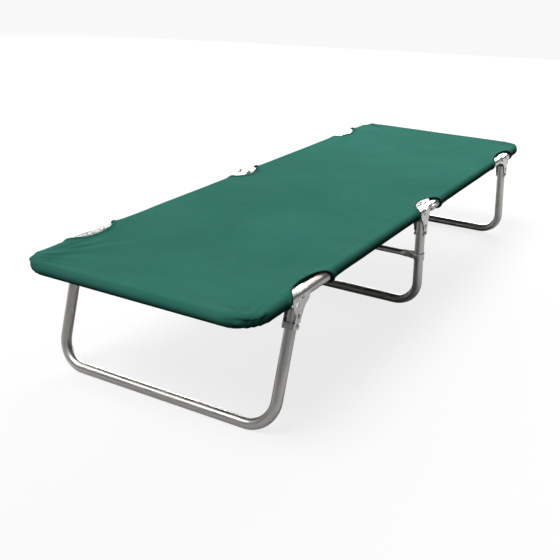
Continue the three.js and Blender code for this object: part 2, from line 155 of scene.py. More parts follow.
class CotColours(PropertyGroup):
    """Colours of the cot's finishes."""

    cloth: FloatVectorProperty(
        name="Cloth", description="The cover's dyed cloth", subtype="COLOR",
        default=(0.0285, 0.146, 0.110), min=0, max=1)
    cloth_light: FloatVectorProperty(
        name="Cloth, worn", description="The cloth where light threads show", subtype="COLOR",
        default=(0.040, 0.184, 0.142), min=0, max=1)
    # The thread is set lighter than the cloth: painted light, to offset the shadow of the sunk stitches.
    thread: FloatVectorProperty(
        name="Thread", description="Sewing thread", subtype="COLOR",
        default=(0.042, 0.185, 0.138), min=0, max=1)
    tube: FloatVectorProperty(
        name="Tube", description="Drawn aluminium tube", subtype="COLOR",
        default=(0.72, 0.705, 0.68), min=0, max=1)
    plate: FloatVectorProperty(
        name="Bracket plate", description="Zinc-plated bracket sheet", subtype="COLOR",
        default=(0.76, 0.755, 0.74), min=0, max=1)
    rivet: FloatVectorProperty(
        name="Rivet", description="Steel rivets", subtype="COLOR",
        default=(0.42, 0.41, 0.40), min=0, max=1)
    floor: FloatVectorProperty(
        name="Floor", description="Studio floor", subtype="COLOR",
        default=(0.86, 0.86, 0.86), min=0, max=1)


class CotStudio(PropertyGroup):
    """Camera and lights."""

    camera_place: FloatVectorProperty(
        name="Camera place", description="Where the camera stands", subtype="TRANSLATION",
        default=(1.0562, -2.1407, 0.9767), unit="LENGTH")
    camera_turn: FloatProperty(
        name="Camera turn", description="Camera's heading, from the cot's length", subtype="ANGLE",
        default=math.radians(29.543))
    camera_tilt: FloatProperty(
        name="Camera tilt", description="Camera's tilt below level", subtype="ANGLE",
        default=math.radians(22.04))
    camera_roll: FloatProperty(
        name="Camera roll", description="Camera's roll about its own axis", subtype="ANGLE",
        default=math.radians(1.70))
    lens: FloatProperty(
        name="Lens", description="Focal length in millimetres, on a 36 mm sensor",
        default=54.99, min=1)
    key_power: FloatProperty(
        name="Overhead light", description="Strength of the wide overhead light", default=2.7, min=0)
    fill_power: FloatProperty(
        name="Side light", description="Power of each side soft light", default=3, min=0)
    back_power: FloatProperty(
        name="Back light", description="Power of the wide light beyond the cot", default=450, min=0)
    sky: FloatProperty(
        name="Room light", description="Strength of the light from all round", default=0.07, min=0)
    backdrop: FloatProperty(
        name="Backdrop", description="Paleness of the room beyond the floor", default=0.95, min=0)
    bounce: FloatProperty(
        name="Floor bounce", description="Share of the floor's paleness that lights the cot from below",
        default=0.03, min=0, max=1)
    mirrored: FloatProperty(
        name="Floor in metal", description="Share of the floor's paleness that the metal mirrors",
        default=0.58, min=0, max=1)
    glow: FloatProperty(
        name="Floor glow", description="Light of the floor itself, that keeps its shadows soft",
        default=0.80, min=0, max=1)


# ---------------------------------------------------------------- mesh helpers

def link_object(name, mesh):
    obj = bpy.data.objects.new(name, mesh)
    bpy.context.scene.collection.objects.link(obj)
    return obj


def mesh_of(name, bm):
    mesh = bpy.data.meshes.new(name)
    bm.to_mesh(mesh)
    bm.free()
    return mesh


def make_object(name, bm, material, smooth_angle=None):
    """Turns a bmesh into a named object with one material and smooth or angle-split shading."""
    mesh = mesh_of(name, bm)
    mesh.materials.append(material)
    mesh.shade_smooth()
    if smooth_angle:
        mesh.set_sharp_from_angle(angle=math.radians(smooth_angle))
    return link_object(name, mesh)


def loft(bm, loops, uv_of=None, join_ends=False):
    """Skins equal loops of points, each one closed; join_ends joins the last loop to the first."""
    layer = bm.loops.layers.uv.verify()
    rows = [[bm.verts.new(point) for point in loop] for loop in loops]
    count = len(rows[0])
    for i in range(len(rows) if join_ends else len(rows) - 1):
        below, above = rows[i], rows[(i + 1) % len(rows)]
        for j in range(count):
            k = (j + 1) % count
            face = bm.faces.new((below[j], below[k], above[k], above[j]))
            if uv_of:
                corners = ((i, j), (i, j + 1), (i + 1, j + 1), (i + 1, j))
                for loop, (row, column) in zip(face.loops, corners):
                    loop[layer].uv = uv_of(row % len(rows), column / count)
    return rows


def tidy(bm):
    bmesh.ops.recalc_face_normals(bm, faces=bm.faces)
    return bm


def u_route(half, top, bottom, across, down, steps=20):
    """Points and directions along a U with both corners bent at the tube's bend radius."""
    route = [(across * half + down * top, down)]
    for side in (1, -1):
        for i in range(steps + 1):
            turn = math.pi / 2 * (i / steps if side > 0 else 1 - i / steps)
            place = across * (side * (half - BEND_R + BEND_R * math.cos(turn)))
            place = place + down * (bottom - BEND_R + BEND_R * math.sin(turn))
            along = across * -math.sin(turn) + down * (side * math.cos(turn))
            route.append((place, along))
    route.append((across * -half + down * top, -down))
    return route


def tube(name, route, plane_normal, wall, sides=36):
    """Hollow tube along a flat route, with softly broken edges at its two open ends."""
    runs = [0.0]
    for (a, _), (b, _) in zip(route, route[1:]):
        runs.append(runs[-1] + (b - a).length)
    edge, bore_r = 0.3 * MM, TUBE_R - wall
    (start, out_along), (stop, in_along) = route[0], route[-1]
    outside = [(start + out_along * edge, out_along, TUBE_R, edge)]
    outside += [(place, along, TUBE_R, run) for (place, along), run in zip(route[1:-1], runs[1:-1])]
    outside.append((stop - in_along * edge, in_along, TUBE_R, runs[-1] - edge))
    bore = [(place, along, bore_r, run) for place, along, _, run in reversed(outside)]
    chain = [(start, out_along, TUBE_R - edge, 0), *outside, (stop, in_along, TUBE_R - edge, runs[-1]),
             (stop, in_along, bore_r + edge / 2, runs[-1]), *bore, (start, out_along, bore_r + edge / 2, 0)]

    def ring(place, along, radius):
        side = along.cross(plane_normal)
        turns = [2 * math.pi * j / sides for j in range(sides)]
        return [place + side * (radius * math.cos(t)) + plane_normal * (radius * math.sin(t)) for t in turns]

    bm = bmesh.new()
    around = 2 * math.pi * TUBE_R
    rings = [ring(place, along, radius) for place, along, radius, _ in chain]
    loft(bm, rings, lambda row, f: (f * around, chain[row][3]), True)
    return make_object(name, tidy(bm), material("Satin tube"), 40)


def round_corners(points, radius, steps=5):
    """Closed outline with each corner turned into an arc of the given radius, where it fits."""
    result = []
    count = len(points)
    for i in range(count):
        here = Vector(points[i])
        before = Vector(points[i - 1]) - here
        after = Vector(points[(i + 1) % count]) - here
        angle = before.angle(after)
        reach = radius / math.tan(angle / 2) if angle < math.pi - 0.02 else 0
        reach = min(reach, before.length * 0.45, after.length * 0.45)
        if reach < 0.01 * MM:
            result.append(here)
            continue
        start = here + before.normalized() * reach
        stop = here + after.normalized() * reach
        for j in range(steps + 1):
            t = j / steps
            result.append(start.lerp(here, t).lerp(here.lerp(stop, t), t))
    return result


def arc(cx, cy, r, start, stop, steps):
    """Points of an arc, angles in degrees."""
    turns = [math.radians(start + (stop - start) * i / steps) for i in range(steps + 1)]
    return [(cx + r * math.cos(t), cy + r * math.sin(t)) for t in turns]


BASIS_YZ = Matrix(((0, 0, 1), (1, 0, 0), (0, 1, 0)))
BASIS_XZ = Matrix(((1, 0, 0), (0, 0, -1), (0, 1, 0)))
BASIS_XY = Matrix.Identity(3)


def prism(points, low, high, basis):
    """Closed prism of an outline in the plane that the basis gives."""
    bm = bmesh.new()
    bottom, top = ([bm.verts.new(basis @ Vector((*p, level))) for p in points] for level in (low, high))
    bm.faces.new(bottom)
    bm.faces.new(list(reversed(top)))
    count = len(points)
    for j in range(count):
        k = (j + 1) % count
        bm.faces.new((bottom[j], bottom[k], top[k], top[j]))
    return tidy(bm)


def scratch(bm):
    """A working object for the cutting tools."""
    return link_object("scratch", mesh_of("scratch", bm))


def apply_modifiers(obj):
    graph = bpy.context.evaluated_depsgraph_get()
    mesh = bpy.data.meshes.new_from_object(obj.evaluated_get(graph))
    old = obj.data
    obj.modifiers.clear()
    obj.data = mesh
    bpy.data.meshes.remove(old)
    return obj


def combine(obj, bm, operation):
    """Cuts, joins or keeps the shared part of obj and a closed bmesh."""
    other = scratch(bm)
    step = obj.modifiers.new("cut", "BOOLEAN")
    step.operation = operation
    step.solver = "EXACT"
    step.object = other
    apply_modifiers(obj)
    mesh = other.data
    bpy.data.objects.remove(other)
    bpy.data.meshes.remove(mesh)


def finish_sheet_part(obj, name, edge, angle=35):
    """Breaks a worked sheet part's hard edges, names it, plates it and shades it."""
    step = obj.modifiers.new("edge", "BEVEL")
    step.width = edge
    step.segments = 2
    step.limit_method = "ANGLE"
    step.angle_limit = math.radians(angle)
    apply_modifiers(obj)
    obj.name = obj.data.name = name
    obj.data.materials.clear()
    obj.data.materials.append(material("Plated sheet"))
    for face in obj.data.polygons:
        face.material_index = 0
    obj.data.shade_smooth()
    obj.data.set_sharp_from_angle(angle=math.radians(50))
    return obj


def dress(piece, body, cad_node):
    """Rides a piece on its body, in place of its plain node."""
    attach(piece, body)
    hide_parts(cad_node)


# ---------------------------------------------------------------- shader helpers

def node(tree, kind, **settings):
    made = tree.nodes.new(kind)
    for key, value in settings.items():
        setattr(made, key, value)
    return made


def fill(tree, made, **values):
    """Sets or links a node's inputs by name; an underscore stands for a space."""
    for label, value in values.items():
        socket = made.inputs[label.replace("_", " ")]
        if isinstance(value, NodeSocket):
            tree.links.new(value, socket)
        else:
            socket.default_value = value
    return made


def math_node(tree, operation, *values):
    made = node(tree, "ShaderNodeMath", operation=operation)
    for socket, value in zip(made.inputs, values):
        if isinstance(value, NodeSocket):
            tree.links.new(value, socket)
        else:
            socket.default_value = value
    return made.outputs[0]


def plus(tree, a, b):
    return math_node(tree, "ADD", a, b)


def times(tree, a, b):
    return math_node(tree, "MULTIPLY", a, b)


def ramp(tree, value, low, high):
    """0 below low, 1 above high, smooth between."""
    made = node(tree, "ShaderNodeMapRange", interpolation_type="SMOOTHSTEP")
    return fill(tree, made, From_Min=low, From_Max=high, Value=value).outputs["Result"]


def span(tree, factor, low, high):
    """A factor of 0 to 1 spread from low to high."""
    made = node(tree, "ShaderNodeMapRange")
    return fill(tree, made, To_Min=low, To_Max=high, Value=factor).outputs["Result"]


def noise_value(tree, vector, scale, detail=3.0, rough=0.55, distortion=0.0):
    return fill(tree, node(tree, "ShaderNodeTexNoise"), Vector=vector, Scale=scale, Detail=detail,
                Roughness=rough, Distortion=distortion).outputs["Fac"]


def mix_colour(tree, factor, a, b):
    a, b = (value if isinstance(value, NodeSocket) else (*value, 1) for value in (a, b))
    made = node(tree, "ShaderNodeMix", data_type="RGBA")
    return fill(tree, made, Factor=factor, A=a, B=b).outputs["Result"]


def bump(tree, height, strength, distance, **below):
    made = node(tree, "ShaderNodeBump")
    return fill(tree, made, Height=height, Strength=strength, Distance=distance, **below).outputs["Normal"]


def object_place(tree):
    return node(tree, "ShaderNodeTexCoord").outputs["Object"]


def flat_place(tree):
    return node(tree, "ShaderNodeUVMap", uv_map="UVMap").outputs["UV"]


def new_material(name):
    made = bpy.data.materials.new(name)
    made.use_nodes = True
    return made.node_tree, made.node_tree.nodes["Principled BSDF"]


def scaled(colour, factor):
    return tuple(min(1.0, channel * factor) for channel in colour)


def shared_group(name, values, results):
    """Wires up a node group by the function below, once. An input without a default is a vector."""
    def wrap(wire):
        def group_of():
            if name in bpy.data.node_groups:
                return bpy.data.node_groups[name]
            group = bpy.data.node_groups.new(name, "ShaderNodeTree")
            for label, default in values.items():
                kind = "NodeSocketVector" if default is None else "NodeSocketFloat"
                socket = group.interface.new_socket(label, in_out="INPUT", socket_type=kind)
                if default is not None:
                    socket.default_value = default
            for label in results:
                group.interface.new_socket(label, in_out="OUTPUT", socket_type="NodeSocketFloat")
            found = wire(group, node(group, "NodeGroupInput").outputs)
            stop = node(group, "NodeGroupOutput")
            for label, value in zip(results, found):
                group.links.new(value, stop.inputs[label])
            return group
        return group_of
    return wrap


def place_group(tree, group, **values):
    return fill(tree, node(tree, "ShaderNodeGroup", node_tree=group), **values).outputs


@shared_group("Plain weave", {"Vector": None, "Threads per metre": 1600.0, "Slub": 0.3},
              ("Height", "Thread shade"))
def plain_weave(group, given):
    """Rounded warp and weft threads, one over the other, with uneven thread weight."""
    split = node(group, "ShaderNodeSeparateXYZ")
    group.links.new(given["Vector"], split.inputs[0])
    turns = times(group, given["Threads per metre"], math.pi)
    warp, weft = (math_node(group, "SINE", times(group, split.outputs[axis], turns)) for axis in "XY")
    over = times(group, warp, weft)
    crown = times(group, math_node(group, "ABSOLUTE", warp), math_node(group, "ABSOLUTE", weft))
    stretch = fill(group, node(group, "ShaderNodeMapping"), Vector=given["Vector"], Scale=(1400, 18, 1))
    slub = noise_value(group, stretch.outputs[0], 1.0, 1.0)
    uneven = times(group, math_node(group, "SUBTRACT", slub, 0.5), given["Slub"])
    height = plus(group, times(group, over, 0.25), crown)
    shade = plus(group, times(group, over, 0.5), 0.5)
    return plus(group, height, uneven), plus(group, shade, uneven)


@shared_group("Drawn grain", {"Vector": None, "Lines": 2600.0, "Length": 14.0}, ("Height", "Streak"))
def drawn_grain(group, given):
    """Fine lines left along a tube or sheet by drawing and rolling."""
    scale = fill(group, node(group, "ShaderNodeCombineXYZ"), X=given["Lines"], Y=given["Length"], Z=1.0)
    stretched = node(group, "ShaderNodeVectorMath", operation="MULTIPLY")
    group.links.new(given["Vector"], stretched.inputs[0])
    group.links.new(scale.outputs[0], stretched.inputs[1])
    fine = noise_value(group, stretched.outputs[0], 1.0, 4.0, 0.7)
    coarse = noise_value(group, stretched.outputs[0], 0.11, 2.0, 0.5)
    return fine, plus(group, times(group, fine, 0.4), times(group, coarse, 0.6))


@shared_group("Handling marks", {"Vector": None, "Patch size": 22.0, "Scratches": 0.5},
              ("Dullness", "Scratch"))
def handling_marks(group, given):
    """Smudges, dull patches and fine scratches from handling."""
    patches = noise_value(group, given["Vector"], given["Patch size"], 4.0, 0.6, 0.6)
    turned = fill(group, node(group, "ShaderNodeMapping"), Vector=given["Vector"],
                  Rotation=(0.4, 0.9, 0.7), Scale=(900, 30, 30))
    sparse = ramp(group, noise_value(group, turned.outputs[0], 1.0, 2.0), 0.70, 0.76)
    return ramp(group, patches, 0.36, 0.68), times(group, sparse, given["Scratches"])


@shared_group("Edge wear", {"Sharpness": 0.5, "Vector": None, "Amount": 0.6}, ("Wear",))
def edge_wear(group, given):
    """Where corners rub bright, broken up by noise. Sharpness comes from the surface's pointiness."""
    edge = ramp(group, given["Sharpness"], 0.52, 0.60)
    broken = ramp(group, noise_value(group, given["Vector"], 140.0, 3.0), 0.35, 0.6)
    return (times(group, times(group, edge, broken), given["Amount"]),)


# ---------------------------------------------------------------- materials

def cloth_material(name, colours, sizes, shade=1.0):
    """Dyed plain-weave cloth: woven height, lighter crowns, cloudy dye, dust and a soft sheen. A shade below
    1 darkens every colour: painted shade.
    """
    tree, shader = new_material(name)
    place = object_place(tree)
    weave = place_group(tree, plain_weave(), Vector=flat_place(tree),
                        Threads_per_metre=1 / sizes.thread_pitch, Slub=0.35)
    cloud = ramp(tree, noise_value(tree, place, 3.2, 3.0, 0.5, 0.4), 0.3, 0.7)
    mottle = noise_value(tree, place, 46.0, 4.0, 0.6)
    ground = mix_colour(tree, cloud, scaled(colours.cloth, 0.88 * shade), scaled(colours.cloth, 1.1 * shade))
    threads = mix_colour(tree, span(tree, weave["Thread shade"], 0.08, 0.62), ground,
                         scaled(colours.cloth_light, shade))
    spotted = mix_colour(tree, span(tree, mottle, 0.0, 0.22), threads, scaled(colours.cloth, 0.62 * shade))
    dull = place_group(tree, handling_marks(), Vector=place, Patch_size=9.0, Scratches=0.0)["Dullness"]
    dusty = mix_colour(tree, span(tree, dull, 0.0, 0.025), spotted, (0.25, 0.36, 0.32))
    soft = bump(tree, noise_value(tree, place, 70.0, 3.0), 0.10, 1.2 * MM)
    fill(tree, shader, Base_Color=dusty, Roughness=span(tree, dull, 0.72, 0.86), Specular_IOR_Level=0.0,
         Sheen_Weight=0.02, Sheen_Roughness=0.45, Sheen_Tint=(0.42, 0.72, 0.62, 1),
         Normal=bump(tree, weave["Height"], 0.35, 0.12 * MM, Normal=soft))


def thread_material(name, colours):
    """Twisted sewing thread, a little lighter than the cloth: the lift is painted light that offsets the
    shadow the sunk stitches cast.
    """
    tree, shader = new_material(name)
    twist = node(tree, "ShaderNodeTexWave")
    fill(tree, twist, Vector=object_place(tree), Scale=900.0, Distortion=1.5)
    ply = twist.outputs["Fac"]
    tone = mix_colour(tree, ply, scaled(colours.thread, 0.75), scaled(colours.thread, 1.25))
    fill(tree, shader, Base_Color=tone, Roughness=span(tree, ply, 0.5, 0.7),
         Normal=bump(tree, ply, 0.4, 0.1 * MM))


def tube_material(name, colours):
    """Drawn aluminium tube with a satin skin: lengthwise lines, dull patches, warm grey cast."""
    tree, shader = new_material(name)
    grain = place_group(tree, drawn_grain(), Vector=flat_place(tree), Lines=2400.0, Length=9.0)
    marks = place_group(tree, handling_marks(), Vector=object_place(tree), Patch_size=17.0, Scratches=0.55)
    lined = mix_colour(tree, grain["Streak"], scaled(colours.tube, 0.80), scaled(colours.tube, 1.18))
    warm = tuple(channel * share for channel, share in zip(colours.tube, (0.84, 0.80, 0.74)))
    dulled = mix_colour(tree, span(tree, marks["Dullness"], 0.0, 0.40), lined, warm)
    rough = plus(tree, span(tree, marks["Dullness"], 0.30, 0.45), span(tree, grain["Streak"], -0.04, 0.06))
    fill(tree, shader, Base_Color=mix_colour(tree, marks["Scratch"], dulled, scaled(colours.tube, 1.5)),
         Metallic=0.88, Roughness=rough, Normal=bump(tree, grain["Height"], 0.10, 0.05 * MM))


def plate_material(name, colours):
    """Zinc-plated steel sheet: fine spangle, rubbed edges, grey handling marks."""
    tree, shader = new_material(name)
    place = object_place(tree)
    sharp = node(tree, "ShaderNodeNewGeometry").outputs["Pointiness"]
    marks = place_group(tree, handling_marks(), Vector=place, Patch_size=60.0, Scratches=0.8)
    grain = place_group(tree, drawn_grain(), Vector=place, Lines=1500.0, Length=60.0)
    wear = place_group(tree, edge_wear(), Sharpness=sharp, Vector=place, Amount=0.7)
    spangle = fill(tree, node(tree, "ShaderNodeTexVoronoi"), Vector=place, Scale=420.0)
    flake = fill(tree, node(tree, "ShaderNodeSeparateColor"), Color=spangle.outputs["Color"]).outputs[0]
    plated = mix_colour(tree, flake, scaled(colours.plate, 0.90), scaled(colours.plate, 1.07))
    dulled = mix_colour(tree, span(tree, marks["Dullness"], 0, 0.4), plated, scaled(colours.plate, 0.62))
    rough = plus(tree, span(tree, marks["Dullness"], 0.27, 0.42), times(tree, marks["Scratch"], 0.15))
    fill(tree, shader, Base_Color=mix_colour(tree, wear["Wear"], dulled, (0.85, 0.85, 0.84)),
         Metallic=0.9, Roughness=rough, Normal=bump(tree, grain["Height"], 0.08, 0.05 * MM))


def rivet_material(name, colours):
    """Peened steel rivet heads, darker in dull patches and rubbed on their crowns."""
    tree, shader = new_material(name)
    place = object_place(tree)
    sharp = node(tree, "ShaderNodeNewGeometry").outputs["Pointiness"]
    dull = place_group(tree, handling_marks(), Vector=place, Patch_size=240.0, Scratches=0.6)["Dullness"]
    wear = place_group(tree, edge_wear(), Sharpness=sharp, Vector=place, Amount=0.8)
    steel = mix_colour(tree, dull, scaled(colours.rivet, 1.2), scaled(colours.rivet, 0.6))
    pitted = bump(tree, noise_value(tree, place, 900.0, 2.0), 0.15, 0.06 * MM)
    fill(tree, shader, Base_Color=mix_colour(tree, wear["Wear"], steel, (0.72, 0.71, 0.70)), Metallic=0.92,
         Roughness=span(tree, dull, 0.26, 0.48), Normal=pitted)


def material(name):
    """The named finish, built the first time that a piece asks for it."""
    if name not in bpy.data.materials:
        colours, sizes = bpy.context.scene.cot_colours, bpy.context.scene.cot_sizes
        builders = {
            "Green cover cloth": lambda: cloth_material(name, colours, sizes),
            # The hem is the cover's cloth darkened to 0.86: a shaded copy, painted shade on the turned hem.
            "Hem cloth": lambda: cloth_material(name, colours, sizes, 0.86),
            "Sewing thread": lambda: thread_material(name, colours),
            "Satin tube": lambda: tube_material(name, colours),
            "Plated sheet": lambda: plate_material(name, colours),
            "Rivet steel": lambda: rivet_material(name, colours),
        }
        builders[name]()
    return bpy.data.materials[name]


# ---------------------------------------------------------------- half frames and legs

def leg_lean(key):
    """Angle of a leg out of the vertical."""
    return math.atan2(FOOT_Y[key] - PIVOT[key].y, PIVOT[key].z - TUBE_R)


class COT_OT_half_frames(Operator):
    """Two U-shaped half frames of drawn tube, open at the ends that butt at the middle"""

    bl_idname = "cot.half_frames"
    bl_label = "Half frames"

    def execute(self, context):
        wall = context.scene.cot_sizes.tube_wall
        for key, end in (("near", -1), ("far", 1)):
            route = u_route(RAIL_X, JOINT_GAP, RAIL_Y, Vector((1, 0, 0)), Vector((0, end, 0)))
            route = [(place + Vector((0, 0, RAIL_Z)), along) for place, along in route]
            piece = tube(f"{key}_frame_tube", route, Vector((0, 0, 1)), wall)
            dress(piece, f"{key}_frame", f"{key}_half_frame")
        return {"FINISHED"}


class COT_OT_legs(Operator):
    """Three U-shaped leg tubes, each standing on its foot bar"""

    bl_idname = "cot.legs"
    bl_label = "Legs"

    def execute(self, context):
        wall = context.scene.cot_sizes.tube_wall
        across = Vector((1, 0, 0))
        for key in LEG_KEYS:
            lean = leg_lean(key)
            down = Vector((0, math.sin(lean), -math.cos(lean)))
            run = math.hypot(FOOT_Y[key] - PIVOT[key].y, PIVOT[key].z - TUBE_R)
            route = u_route(RAIL_X, -LEG_ABOVE, run, across, down)
            route = [(place + PIVOT[key], along) for place, along in route]
            piece = tube(f"{key}_leg_tube", route, across.cross(down), wall)
            dress(piece, LEG_BODY[key], f"{key}_leg")
        return {"FINISHED"}


class COT_OT_brace(Operator):
    """Middle leg's cross brace with pressed-flat ends, and the two collars that hold it"""

    bl_idname = "cot.brace"
    bl_label = "Brace and collars"

    def execute(self, context):
        turn = Matrix.Rotation(leg_lean("middle"), 4, "X")
        centre = (BRACE_LOW + BRACE_HIGH) / 2
        place = Matrix.Translation(Vector((0, centre.y, centre.z))) @ turn
        brace = self.brace_tube(BRACE_HIGH.x)
        brace.matrix_world = place
        dress(brace, LEG_BODY["middle"], "middle_leg_brace")
        for side_name, side in SIDES.items():
            collar = self.collar(f"collar_{side_name}")
            flip = Matrix.Rotation(0 if side > 0 else math.pi, 4, "Z")
            collar.matrix_world = place @ Matrix.Translation((side * RAIL_X, 0, 0)) @ flip
            dress(collar, LEG_BODY["middle"], f"brace_collar_{side_name}")
        return {"FINISHED"}

    @staticmethod
    def brace_tube(half):
        flat_high = (BRACE_HIGH.z - BRACE_LOW.z) / 2
        taper, flat = (half - from_end for from_end in BRACE_TAPER)
        end_span = [taper + (half - taper) * i / 16 for i in range(17)]
        stations = sorted([-x for x in end_span] + end_span)
        count = 32

        def ring(x, inset):
            f = min(1, max(0, (abs(x) - taper) / (flat - taper)))
            f = f * f * (3 - 2 * f)
            thick = BRACE_R + (BRACE_FLAT_THICK - BRACE_R) * f - inset
            high = BRACE_R + (flat_high - BRACE_R) * f - inset
            power = 2 / (2 + 1.4 * f)  # rounder in the middle, squarer at the flat ends
            points = []
            for j in range(count):
                angle = 2 * math.pi * (j + 0.5) / count
                c, s = math.cos(angle), math.sin(angle)
                points.append((x, math.copysign(abs(c) ** power, c) * thick,
                               math.copysign(abs(s) ** power, s) * high))
            return points

        chain = [(x, 0.0) for x in stations] + [(x, BRACE_WALL) for x in reversed(stations)]
        bm = bmesh.new()
        loft(bm, [ring(x, inset) for x, inset in chain], lambda row, f: (f * 0.06, chain[row][0]), True)
        return make_object("cross_brace", tidy(bm), material("Satin tube"), 40)

    @staticmethod
    def collar(name):
        slit = BRACE_FLAT_THICK + SLIP
        reach = slit + SHEET
        out_angle = math.degrees(math.asin(reach / CHEEK_OUT))
        in_angle = math.degrees(math.asin(slit / CHEEK_IN))
        outline = [(-COLLAR_TAB, reach)]
        outline += arc(0, 0, CHEEK_OUT, 180 - out_angle, -180 + out_angle, 40)
        outline += [(-COLLAR_TAB, -reach), (-COLLAR_TAB, -slit)]
        outline += arc(0, 0, CHEEK_IN, -180 + in_angle, 180 - in_angle, 40)
        outline += [(-COLLAR_TAB, slit)]
        piece = scratch(prism(outline, -COLLAR_HIGH / 2, COLLAR_HIGH / 2, BASIS_XY))
        return finish_sheet_part(piece, name, 0.3 * MM)


# ---------------------------------------------------------------- saddle brackets and straps

class COT_OT_brackets(Operator):
    """Six stamped saddle brackets, folded over the rails, that the legs turn in"""

    bl_idname = "cot.brackets"
    bl_label = "Saddle brackets"

    def execute(self, context):
        for key in LEG_KEYS:
            master = self.bracket(key, abs(leg_lean(key)))
            turn = Matrix.Rotation(0 if FOLDS[key] > 0 else math.pi, 4, "Z")
            for side_name, side in SIDES.items():
                piece = link_object(f"{key}_saddle_{side_name}", master.data.copy())
                spot = Vector((side * RAIL_X, PIVOT[key].y, PIVOT[key].z))
                piece.matrix_world = Matrix.Translation(spot) @ turn
                dress(piece, FRAME_BODY[key], f"{key}_bracket_{side_name}")
            bpy.data.objects.remove(master)
        return {"FINISHED"}

    @staticmethod
    def bracket(key, lean):
        """A bracket about its pivot, +Y the way the leg folds: a saddle cut to outline, a web, slots."""
        sin, cos = math.sin(lean), math.cos(lean)
        web_side, fold_side = SADDLE_REACH[key]
        back, tall, wide = -11.8 * MM, 20 * MM, 20 * MM

        def along(d, n):
            return n * cos - d * sin, -n * sin - d * cos

        outline = [
            along(CHEEK_DROP, back), along(CHEEK_DROP, 10 * MM), along(4 * MM, 12 * MM), (24 * MM, 16 * MM),
            (fold_side - 3 * MM, RAIL_UP - 12 * MM), (fold_side, RAIL_UP - 5 * MM),
            (fold_side, RAIL_UP + tall), (-web_side, RAIL_UP + tall),
            (-web_side, RAIL_UP - 9 * MM), along(0, back),
        ]
        bottom = -CHEEK_DROP - 10 * MM
        saddle = [(CHEEK_OUT, bottom)] + arc(0, RAIL_UP, CHEEK_OUT, 0, 180, 40) + [(-CHEEK_OUT, bottom)]
        saddle += [(-CHEEK_IN, bottom)] + arc(0, RAIL_UP, CHEEK_IN - 0.2 * MM, 180, 0, 40)
        saddle += [(CHEEK_IN, bottom)]
        body = scratch(prism(saddle, -90 * MM, 90 * MM, BASIS_XZ))
        combine(body, prism(round_corners(outline, 4 * MM), -wide, wide, BASIS_YZ), "INTERSECT")

        outer_corner, inner_corner, mouth = 3 * MM, 1.5 * MM, -8 * MM
        flat = CHEEK_OUT - outer_corner
        channel = [(-CHEEK_OUT, mouth)] + arc(-flat, -flat, outer_corner, 180, 270, 6)
        channel += arc(flat, -flat, outer_corner, 270, 360, 6) + [(CHEEK_OUT, mouth), (CHEEK_IN, mouth)]
        channel += arc(flat, -flat, inner_corner, 360, 270, 6) + arc(-flat, -flat, inner_corner, 270, 180, 6)
        channel += [(-CHEEK_IN, mouth)]
        down_leg = Matrix(((1, 0, 0), (0, cos, -sin), (0, -sin, -cos)))
        combine(body, prism(channel, WEB_TOP, CHEEK_DROP - 0.01 * MM, down_leg), "UNION")

        if key == "middle":
            pin = (PIVOT["middle"].y, HINGE.z - PIVOT["middle"].z)
            ear = [(pin[0] + 30 * MM, RAIL_UP - 4 * MM), (pin[0] + 30 * MM, RAIL_UP + 6 * MM)]
            ear += arc(*pin, EAR_R, 80, 250, 20) + [(pin[0] + 3 * MM, RAIL_UP - 4 * MM)]
            for faces in ((CHEEK_IN, CHEEK_OUT), (-CHEEK_OUT, -CHEEK_IN)):
                combine(body, prism(ear, *faces, BASIS_YZ), "UNION")
        half = 2.9 * MM
        slot = [along(*p) for p in arc(0, 0, LOCK_DROP - half, -4, 64, 8)]
        slot += [along(*p) for p in arc(0, 0, LOCK_DROP + half, 64, -4, 8)]
        combine(body, prism(round_corners(slot, 1.5 * MM, 3), -wide, wide, BASIS_YZ), "DIFFERENCE")
        if key != "middle":
            hole = [(y * MM, RAIL_UP + z * MM) for y, z in CHEEK_SLOT]
            combine(body, prism(round_corners(hole, 1.5 * MM), -wide, wide, BASIS_YZ), "DIFFERENCE")
        return finish_sheet_part(body, f"{key}_saddle", 0.32 * MM)


class COT_OT_hinge_straps(Operator):
    """Four flat straps on the far rails' sides, set out at the fold to pass the brackets' ears"""

    bl_idname = "cot.hinge_straps"
    bl_label = "Hinge straps"

    def execute(self, context):
        for side_name, side in SIDES.items():
            for face_name, face in (("outer", side), ("inner", -side)):
                piece = self.strap(face, f"fold_strap_{side_name}_{face_name}")
                piece.matrix_world = Matrix.Translation((side * RAIL_X, 0, RAIL_Z))
                dress(piece, "far_frame", f"hinge_strap_{side_name}_{face_name}")
        return {"FINISHED"}

    @staticmethod
    def strap(face, name):
        rise = HINGE.z - RAIL_Z
        outline = arc(0, rise, EAR_R, 70, 270, 24) + [(8 * MM, rise - 12 * MM), (14 * MM, -STRAP_HALF)]
        outline += arc(STRAP_END, 0, STRAP_HALF, -90, 90, 16) + [(14 * MM, STRAP_HALF)]
        bm = prism(outline, 0, SHEET, BASIS_YZ)
        near, past = TUBE_R + SLIP, CHEEK_OUT + SLIP
        start, stop = STRAP_STEP
        for i in range(9):
            cut = (0, start + (stop - start) * i / 8, 0)
            everything = bm.verts[:] + bm.edges[:] + bm.faces[:]
            bmesh.ops.bisect_plane(bm, geom=everything, plane_co=cut, plane_no=(0, 1, 0))
        for vert in bm.verts:
            f = min(1, max(0, (vert.co.y - start) / (stop - start)))
            f = f * f * (3 - 2 * f)
            vert.co.x = face * (vert.co.x + past + (near - past) * f)
        return finish_sheet_part(scratch(tidy(bm)), name, 0.3 * MM, 50)


# ---------------------------------------------------------------- rivets

